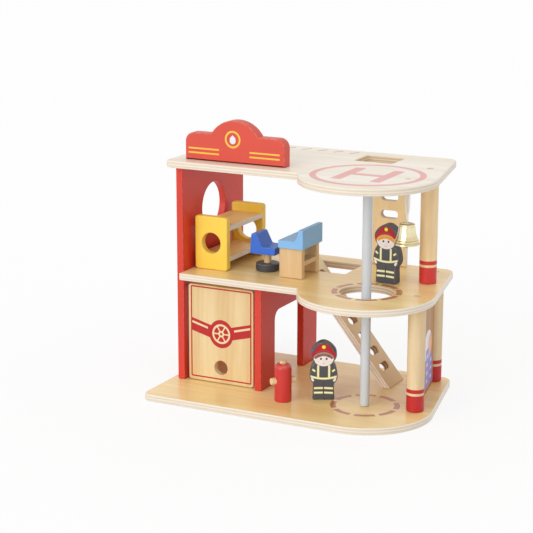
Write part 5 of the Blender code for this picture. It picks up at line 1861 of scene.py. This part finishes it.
@dataclass
class Bell:
    """The brass bell, its clapper, its looped string and the peg in the roof."""

    hole: float = 0.0012
    wall: float = 0.0011
    clapper_rod: float = 0.0007
    strand_gap: float = 0.0042
    string_radius: float = 0.0007
    string_pitch: float = 0.0021
    knot_rise: float = 0.0072
    side: tuple[Place, ...] = (
        (0.50, 0.0), (0.565, 0.01), (0.60, 0.04), (0.60, 0.075), (0.59, 0.10), (0.612, 0.14),
        (0.632, 0.20), (0.655, 0.32), (0.69, 0.45), (0.745, 0.58), (0.81, 0.69), (0.86, 0.77),
        (0.90, 0.79), (0.915, 0.82), (0.90, 0.85), (0.925, 0.88), (0.965, 0.925), (0.992, 0.96),
        (1.0, 0.98), (0.992, 1.0),
    )
    strand: tuple[Place, ...] = ((1, 1), (1.2, 0.8), (1.36, 0.52), (1.1, 0.25), (0.6, 0.11))

    def build(self, bench: Bench) -> None:
        """Builds the four pieces.

        Args:
            bench: Where the pieces are made.
        """
        self._cup(bench)
        self._clapper(bench)
        self._string(bench)
        finish = WoodFinish("peg_end_grain", 0.5, light=srgb(236, 200, 120), dark=srgb(205, 160, 90))
        piece = Piece("bell_peg_turned", "bell_peg", "station", "pine", finish, Grain.ALONG_X)
        bench.rod(piece, (0.0004, 0.0004), 4, 40)

    def _cup(self, bench: Bench) -> None:
        """Builds the cup: a waisted side with two beads, a flared lip and its inner face.

        Args:
            bench: Where the piece is made.
        """
        low, high = span("bell_cup")
        rim, tall = (high[0] - low[0]) / 2, high[2] - low[2]
        shares = np.array(self.side)
        outer = smooth_curve(shares * (rim, tall), 4)
        outer[:, 1] *= -1
        outer[:, 0] = np.minimum(outer[:, 0], rim)
        inner = smooth_curve(shares[::-1][1:-1] * (rim, tall) * (1, -1) - (self.wall, 0), 4)
        crown = ((self.hole, -self.wall), (self.hole, 0.0))
        lip = ((rim - self.wall * 0.6, -tall),)
        piece = Piece("bell_cup_turned", "bell_cup", "bell", "bell_brass", BRASS)
        bench.spin(piece, turned(np.concatenate((outer, lip, inner, crown)), 96), high[2])

    def _clapper(self, bench: Bench) -> None:
        """Builds the rod and ball as one turned drop.

        Args:
            bench: Where the piece is made.
        """
        low, high = span("bell_clapper")
        ball, thin = (high[0] - low[0]) / 2, self.clapper_rod
        start, quarter = math.asin(thin / ball), math.pi / 2
        drop = arc((0, low[2] - high[2] + ball), ball, quarter - start, -quarter, 28)
        profile = np.concatenate((((0, 0), (thin * 0.8, 0), (thin, -0.0003)), drop))
        profile[-1, 0] = 0
        piece = Piece("bell_clapper_turned", "bell_clapper", "clapper", "bell_brass", BRASS)
        bench.spin(piece, turned(profile, 48), high[2])

    def _string(self, bench: Bench) -> None:
        """Builds the looped string: two strands, a wound knot and the single end.

        Args:
            bench: Where the piece is made.
        """
        low, high = span("bell_string")
        knot = span("bell_cup")[1][2] + self.knot_rise
        reach = (-self.strand_gap / 2, high[2] - knot)
        down = np.concatenate((np.array(self.strand) * reach, ((-0.0005, 0.0012),)))
        paths = []
        for way in (1, -1):
            curve = smooth_curve(down * (way, 1), 8)
            paths.append(np.insert(curve, 1, way * 0.0003, axis=1))
        paths.append(np.array(((0, 0, 0.001), (0.0001, 0, -0.003), (0, 0, low[2] - knot))))
        turns = np.linspace(0, WHOLE_TURN, 40)
        for rise in (0.00045, -0.00045):
            loop = (0.00085 * np.cos(turns), 0 * turns, 0.0007 * np.sin(turns) + rise)
            paths.append(np.stack(loop, 1))
        shape = Surface.joined([rope(path, self.string_radius, self.string_pitch) for path in paths])
        piece = Piece("bell_string_twist", "bell_string", "bell", "cotton", COTTON, Grain.ALONG_X)
        bench.spin(piece, shape, knot)


@dataclass
class Bunk:
    """The yellow bunk: two panels with round holes and two plywood shelves."""

    corner: float = 0.004
    hole_radius: float = 0.0136
    rounding: float = 0.0018
    hole_rounding: float = 0.0012
    shelf_corner: float = 0.0004

    def build(self, bench: Bench) -> None:
        """Builds both panels and both shelves.

        Args:
            bench: Where the pieces are made.
        """
        for node in ("bunk_front_panel", "bunk_back_panel"):
            cuts = {"holes": [circle(tuple(middle(node)[::2]), self.hole_radius)]}
            cuts["hole_roundings"] = (self.hole_rounding,)
            piece = Piece(node + "_board", node, "bunk", "yellow_wood", YELLOW_PAINT)
            bench.plate(piece, Facing.FRONT, self.corner, self.rounding, 10, **cuts)
        tones = {"light": srgb(255, 224, 156), "dark": srgb(236, 188, 116)}
        finish = WoodFinish("bunk_shelf_ply", 0.42, layers=5, **tones)
        for node in ("bunk_lower_shelf", "bunk_upper_shelf"):
            piece = Piece(node + "_board", node, "bunk", "birch_ply", finish)
            edge = self.shelf_corner
            bench.plate(piece, Facing.LEVEL, edge, edge, margin=SHELF_MARGIN)


@dataclass
class Chair:
    """The swivel chair: a charcoal disc, a stem and a shaped seat."""

    base_rounding: float = 0.0016
    stem_rounding: float = 0.0005
    seat_corner: float = 0.0012
    seat_rounding: float = 0.0011
    seat_thickness: float = 0.0099
    hollow: float = 0.003
    back_top: float = 0.0072
    back_lean: float = 0.0018
    back_foot: float = 0.0172

    def build(self, bench: Bench) -> None:
        """Builds the three pieces.

        Args:
            bench: Where the pieces are made.
        """
        slots = ("charcoal_wood", CHARCOAL_PAINT, Grain.ALONG_X)
        piece = Piece("chair_base_disc", "chair_base", "chair", *slots)
        bench.rod(piece, (self.base_rounding,) * 2, 8, 110, standing=True)
        piece = Piece("chair_stem_rod", "chair_stem", "chair", "pine", PINE)
        bench.rod(piece, (self.stem_rounding,) * 2, 4, 56, standing=True)
        slots = ("blue_wood", BLUE_PAINT, Grain.ALONG_X)
        piece = Piece("chair_seat_block", "chair_seat", "chair", *slots)
        low, high = span(piece.node)
        edge, seat = self.seat_corner, low[2] + self.seat_thickness
        back = low[0] + self.back_lean
        corners = [(low[0], low[2], edge), (high[0], low[2], edge), (high[0], seat, edge)]
        corners += [(low[0] + self.back_foot, seat, self.hollow)]
        corners += [(back + self.back_top, high[2], edge), (back, high[2], edge)]
        bench.slab(piece, Facing.FRONT, rounded(corners, 8), self.seat_rounding)


@dataclass
class Desk:
    """The desk: a sky blue top with a raised back, two end panels and a shelf."""

    edge: float = 0.001
    low_thickness: float = 0.0100
    ledge: float = 0.0068
    hollow: float = 0.0085
    panel_corner: float = 0.0007
    panel_rounding: float = 0.0008
    shelf_corner: float = 0.0004
    shelf_rounding: float = 0.0006

    def build(self, bench: Bench) -> None:
        """Builds the top, the panels and the shelf.

        Args:
            bench: Where the pieces are made.
        """
        piece = Piece("desk_top_block", "desk_top", "desk", "sky_wood", SKY_PAINT, Grain.ALONG_X)
        bench.slab(piece, Facing.FRONT, self._top_outline(), self.edge)
        for node in ("desk_front_panel", "desk_back_panel"):
            piece = Piece(node + "_board", node, "desk", "pine", BEECH)
            bench.plate(piece, Facing.FRONT, self.panel_corner, self.panel_rounding, 4)
        piece = Piece("desk_shelf_board", "desk_shelf", "desk", "pine", BEECH)
        sizes = (self.shelf_corner, self.shelf_rounding)
        bench.plate(piece, Facing.LEVEL, *sizes, margin=SHELF_MARGIN)

    def _top_outline(self) -> Array:
        """Returns the top's outline, a quarter ellipse rising from the writing place to the ledge.

        Returns:
            The closed outline.
        """
        (left, _, bottom), (right, _, top) = span("desk_top")
        step, ledge, edge = bottom + self.low_thickness, right - self.ledge, self.edge
        angle = np.linspace(math.pi / 2, 0, 22)
        across = ledge - self.hollow + self.hollow * np.sin(angle)
        curve = np.stack((across, step + (top - step) * (1 - np.cos(angle))), 1)
        return np.concatenate(
            (
                fillet((left, step), (left, bottom), (right, bottom), edge),
                fillet((left, bottom), (right, bottom), (right, top), edge),
                fillet((right, bottom), (right, top), (ledge, top), edge),
                fillet((right, top), curve[0], curve[3], edge),
                curve[4:],
                fillet(curve[-1], (left, step), (left, bottom), edge),
            )
        )


@dataclass
class Hydrant:
    """The turned red hydrant with its bare wooden cap and cross peg."""

    dome: float = 0.0062
    neck: float = 0.0046
    neck_drop: float = 0.0004
    foot: float = 0.001
    turn: float = math.radians(49)
    peg_radius: float = 0.00425
    peg_length: float = 0.0335
    peg_edge: float = 0.0013

    def build(self, bench: Bench) -> None:
        """Builds the body, the cap and the peg.

        Args:
            bench: Where the pieces are made.
        """
        piece = Piece("hydrant_body_turned", "hydrant_body", "hydrant", "hydrant_red", HYDRANT_PAINT)
        low, high = span(piece.node)
        radius, tall, neck = (high[0] - low[0]) / 2, high[2] - low[2], self.neck
        angle = np.linspace(0, math.pi / 2, 22)
        across = neck + (radius - neck) * np.sin(angle)
        dome = np.stack((across, tall - self.dome * (1 - np.cos(angle))), 1)
        lower = rounded([(radius, tall - self.dome, 0), (radius, 0, self.foot), (0, 0, 0)], 6, False)
        inset = ((0, tall - self.neck_drop), (neck - self.neck_drop, tall - self.neck_drop))
        bench.spin(piece, turned(np.concatenate((inset, dome, lower[1:])), 110), low[2])
        piece = Piece("hydrant_cap_rod", "hydrant_cap", "hydrant", "pine", PINE)
        bench.rod(piece, (0.0012, 0.0005), 8, 64)
        length, edges = self.peg_length, (self.peg_edge,) * 2
        shape = rod(self.peg_radius, length, edges, 8, 64, -length / 2)
        cosine, sine = math.cos(self.turn), math.sin(self.turn)
        piece = Piece("hydrant_peg_rod", "hydrant_peg", "hydrant", "pine", PINE)
        bench.spin(piece, shape, axes=((-sine, cosine, 0), (0, 0, 1), (cosine, sine, 0)))


@dataclass
class Figure:
    """One flat firefighter with a printed coat, face and helmet."""

    node: str
    body: str
    hair: Colour
    band: Colour
    turn: float
    half_width: float = 0.0176
    thickness: float = 0.015
    foot: float = 0.78
    heel: float = 0.0013
    rounding: float = 0.0015
    shares: tuple[Place, ...] = (
        (0.765, 0.14), (0.755, 0.27), (0.89, 0.315), (0.98, 0.365), (1.0, 0.42),
        (0.94, 0.50), (0.84, 0.58), (0.68, 0.645), (0.84, 0.70), (0.925, 0.76), (0.92, 0.82),
        (0.81, 0.875), (0.63, 0.925), (0.41, 0.967), (0.20, 0.992),
    )

    def outline(self, height: float) -> Array:
        """Returns the hooded outline: the right half through its shares, then its mirror image.

        Args:
            height: The figure's height.

        Returns:
            The closed outline.
        """
        right = np.array(self.shares) * (self.half_width, height)
        left = right[::-1] * (-1, 1)
        foot, heel, quarter = self.half_width * self.foot, self.heel, math.pi / 2
        path = np.concatenate((((foot, heel),), right, ((0.0, height),), left, ((-foot, heel),)))
        outer = arc((-foot + heel, heel), heel, math.pi, 3 * quarter, 5)[1:]
        inner = arc((foot - heel, heel), heel, -quarter, 0, 5)[:-1]
        return np.concatenate((smooth_curve(path), outer, inner))

    def prints(self) -> tuple[Ink, ...]:
        """Returns the printed shapes, from the coat up to the helmet's badge.

        Returns:
            The shapes, the lowest first.
        """
        mm = 0.001
        lime, cream = srgb(216, 206, 70), srgb(248, 248, 222)
        skin, red, hand = srgb(246, 238, 236), srgb(184, 4, 26), srgb(246, 240, 240)
        inks: list[Ink] = []

        def box(
            x: float, z: float, half: Place, colour: Colour, turn: float = 0, corner: float = 0
        ) -> None:
            """Adds a rectangle given in millimetres."""
            size = (half[0] * mm, half[1] * mm)
            inks.append(BoxInk((x * mm, z * mm), colour, 0.96, size, turn, corner * mm))

        def dot(x: float, z: float, half: Place, colour: Colour) -> None:
            """Adds an ellipse given in millimetres."""
            inks.append(EllipseInk((x * mm, z * mm), colour, 0.97, (half[0] * mm, half[1] * mm)))

        def band(z: float, rise: float, half: float, width: float, colour: Colour) -> None:
            """Adds a bent band given in millimetres, its middle on the centre line."""
            inks.append(bow((0, z * mm), rise * mm, half * mm, width * mm, colour))

        for side in (-1, 1):
            for half, colour in ((1.5, lime), (0.95, cream)):
                box(side * 6.9, 37.0, (half, 8.2), colour)
                box(side * 12.4, 38.5, (2.3 + (half - 1.5) / 2, half * 0.85), colour, side * 38)
                for height in (15.3, 9.3):
                    box(side * 6.4, height, (5.0 + half / 2, half), colour, side * -2, half * 0.5)
            box(side * 14.0, 26.4, (1.5, 2.6), hand, side * -32, 1.4)
        box(0, 12.0, (0.3, 12.0), srgb(50, 52, 58))
        band(27.8, -3.2, 17.0, 2.9, lime)
        band(27.8, -3.2, 16.6, 1.8, cream)
        dot(0, 62.0, (11.6, 10.9), red)
        dot(0, 54.6, (12.7, 10.6), skin)
        band(61.2, 6.2, 14.0, 4.2, self.band)
        band(58.6, 4.4, 11.0, 3.0, self.hair)
        for side in (-1, 1):
            dot(side * 6.2, 57.6, (2.4, 1.7), self.hair)
            dot(side * 3.55, 53.7, (1.25, 1.5), srgb(34, 30, 34))
            dot(side * 7.0, 49.8, (1.9, 1.3), srgb(246, 226, 220))
        dot(0, 50.7, (0.5, 0.4), srgb(214, 186, 178))
        band(47.6, -0.9, 2.0, 0.5, srgb(196, 140, 134))
        band(64.6, 7.6, 15.2, 4.4, red)
        for side in (-1, 1):
            dot(side * 14.2, 57.2, (1.9, 2.6), red)
        band(63.4, 7.0, 14.4, 0.5, srgb(150, 14, 30))
        dot(0, 69.0, (2.4, 2.3), srgb(240, 236, 24))
        dot(0, 69.0, (1.1, 1.1), srgb(252, 246, 110))
        return tuple(inks)

    def build(self, bench: Bench) -> None:
        """Builds the figure at the middle of its solid.

        Args:
            bench: Where the pieces are made.
        """
        low, high = span(self.node)
        shape = board(self.outline(float(high[2] - low[2])), [], self.thickness, self.rounding)
        cosine, sine = math.cos(self.turn), math.sin(self.turn)
        coat = srgb(76, 78, 86)
        finish = PaintFinish(self.node + "_print", 0.5, self.prints(), Side.BOTH, colour=coat)
        piece = Piece(self.node + "_board", self.node, self.body, "charcoal_wood", finish)
        bench.spin(piece, shape, low[2], ((cosine, sine, 0), (0, 0, 1), (sine, -cosine, 0)))


@dataclass
class Fasteners:
    """Screws with a crossed recess where they can be seen, plugs, and the hidden pins and dowels."""

    plug_edge: float = 0.0003
    shank: float = 0.00125
    recess_width: float = 0.00055
    recess_depth: float = 0.0011
    recess_reach: float = 0.62
    head_height: float = 0.0022
    pitch: float = 0.0013
    ridge: float = 0.00022

    def build(self, bench: Bench) -> None:
        """Builds the visible fasteners and finishes the hidden ones.

        Args:
            bench: Where the pieces are made.
        """
        for node in ("plug_front_post", "plug_back_post", "plug_upper_post"):
            piece = Piece(node + "_disc", node, "station", "pine", BEECH, Grain.ALONG_X)
            bench.rod(piece, (self.plug_edge, 0), 4, 48)
        for node in (*BASE_SCREWS, "screw_upper_post_foot"):
            self._screw(bench, node)
        steel = ["door_pin_left", "door_pin_right"]
        steel += [f"screw_{post}_post_top" for post in ("front", "back", "upper")]
        pine = [f"{deck}_dowel_{end}" for deck in ("floor", "roof") for end in ("front", "rear")]
        pine += ["sign_dowel_left", "sign_dowel_right"]
        for finish, names in ((STEEL, steel), (PINE, pine)):
            for name in names:
                materials = bpy.data.objects[name].data.materials
                materials.clear()
                materials.append(finish.material(bench.shop))

    def _screw(self, bench: Bench, node: str) -> None:
        """Builds one countersunk screw, head down, with a crossed recess and a rolled thread.

        The head's face is lifted by the recess depth where either arm of the cross covers it, and
        the shank's radius swells by a ridge that climbs one pitch in each turn.

        Args:
            bench: Where the piece is made.
            node: The solid that it stands for.
        """
        low, high = span(node)
        head, tall, shank = (high[0] - low[0]) / 2, high[2] - low[2], self.shank
        face_line = [(r, 0.0) for r in np.linspace(head - 0.0002, 0.0002, 22)]
        side = [(shank, z) for z in np.linspace(tall - 0.002, self.head_height, 150)]
        tip = [(0, tall), (shank * 0.5, tall - 0.0008)]
        shape = turned(np.array(tip + side + [(head, 0.0003)] + face_line + [(0, 0)]), 48)
        shape.smooth = False
        x, y, z = shape.points.T
        arm, reach = np.minimum(np.abs(x), np.abs(y)), np.hypot(x, y)
        cross = np.clip((self.recess_width - arm) / 0.0002, 0, 1)
        cross *= np.clip((head * self.recess_reach - reach) / 0.0004, 0, 1)
        shape.points[:, 2] += np.where(z < 0.0001, cross * self.recess_depth, 0)
        winding = np.cos(np.arctan2(y, x) - WHOLE_TURN * z / self.pitch)
        swell = 1 + np.clip(winding, 0, 1) ** 2 * self.ridge / shank
        threaded = (z > self.head_height + 0.0012) & (z < tall - 0.0015)
        shape.points[:, :2] *= np.where(threaded, swell, 1)[:, None]
        piece = Piece(node + "_crosshead", node, "station", "steel", STEEL, Grain.ALONG_X)
        bench.spin(piece, shape, low[2])


@dataclass
class Stage:
    """Pale floor, soft studio light and the camera."""

    camera_place: Corner = (0.86548, -1.82490, 0.66495)
    camera_turn: Corner = (76.210, -0.092, 26.971)
    lens: float = 110.84
    sensor: float = 36
    world_light: float = 0.81
    key_strength: float = 1.30
    fill_strength: float = 0.06
    floor_reach: float = 30.0
    floor_glow: float = 0.8

    def build(self) -> None:
        """Builds the floor, the lights and the camera."""
        self._floor()
        self._lights()
        self._camera()
        bpy.context.scene.view_settings.view_transform = "Standard"

    @staticmethod
    def _seen(g: Graph) -> Socket:
        """Returns 1 for a ray that shows the surface itself, straight, mirrored or through glass.

        Args:
            g: The material's graph.

        Returns:
            A value of 1 or 0.
        """
        path = g.node("ShaderNodeLightPath").outputs
        straight = g.math("MAXIMUM", path["Is Camera Ray"], path["Is Glossy Ray"])
        return g.math("MAXIMUM", straight, path["Is Transmission Ray"])

    def _floor(self) -> None:
        """Builds a wide level floor that clips to white away from the shadow."""
        mesh = bpy.data.meshes.new("studio_floor")
        reach = self.floor_reach
        corners = [(-reach, -reach, 0), (reach, -reach, 0), (reach, reach, 0), (-reach, reach, 0)]
        mesh.from_pydata(corners, [], [(0, 1, 2, 3)])
        floor = show("studio_floor", mesh)
        material = bpy.data.materials.new("studio_floor")
        material.use_nodes = True
        g = Graph(material.node_tree)
        shader = material.node_tree.nodes["Principled BSDF"]
        shader.inputs["Roughness"].default_value = 0.9
        shader.inputs["Specular IOR Level"].default_value = 0.0
        seen = self._seen(g)
        g.feed(shader.inputs["Base Color"], g.mix(seen, (0.8, 0.8, 0.8), (1.0, 1.0, 1.0)))
        white, both = g.node("ShaderNodeEmission"), g.node("ShaderNodeMixShader")
        share = g.times(seen, self.floor_glow)
        g.feed_all(both, (share, shader.outputs[0], white.outputs[0]))
        g.feed(material.node_tree.nodes["Material Output"].inputs["Surface"], both.outputs[0])
        mesh.materials.append(material)

    def _lights(self) -> None:
        """Builds the white surround and two broad lamps."""
        world = bpy.data.worlds.new("studio")
        bpy.context.scene.world = world
        world.use_nodes = True
        g = Graph(world.node_tree)
        background = world.node_tree.nodes["Background"]
        background.inputs["Color"].default_value = (1, 1, 1, 1)
        rise = 1.0 - self.world_light
        strength = g.times(self._seen(g), rise, self.world_light)
        g.feed(background.inputs["Strength"], strength)
        for name, energy, spread, turn in (
            ("key_light", self.key_strength, 50, (74, 0, -14)),
            ("fill_light", self.fill_strength, 60, (60, 0, 64)),
        ):
            lamp = bpy.data.lights.new(name, "SUN")
            lamp.energy = energy
            lamp.angle = math.radians(spread)
            show(name, lamp).rotation_euler = [math.radians(v) for v in turn]

    def _camera(self) -> None:
        """Places the camera at the photograph's viewing angle."""
        camera = bpy.data.cameras.new("camera")
        camera.lens = self.lens
        camera.sensor_width = self.sensor
        item = show("camera", camera)
        item.location = self.camera_place
        item.rotation_euler = [math.radians(v) for v in self.camera_turn]
        bpy.context.scene.camera = item


def main() -> None:
    """Builds the whole station."""
    logging.basicConfig(level=logging.INFO, format="%(message)s")
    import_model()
    bench = Bench()
    lower = ("figure_lower", "lower_figure", srgb(136, 84, 78), srgb(160, 134, 120))
    upper = ("figure_upper", "upper_figure", srgb(234, 158, 52), srgb(240, 172, 66))
    assemblies = [
        Decks(),
        Walls(),
        GarageDoor(),
        Uprights(),
        Ladders(),
        Bell(),
        Bunk(),
        Chair(),
        Desk(),
        Hydrant(),
        Figure(*lower, math.radians(25.6)),
        Figure(*upper, math.radians(-3.3)),
        Fasteners(),
    ]
    for assembly in assemblies:
        assembly.build(bench)
        LOG.info("%s done", type(assembly).__name__)
    Stage().build()


if __name__ == "__main__":
    main()
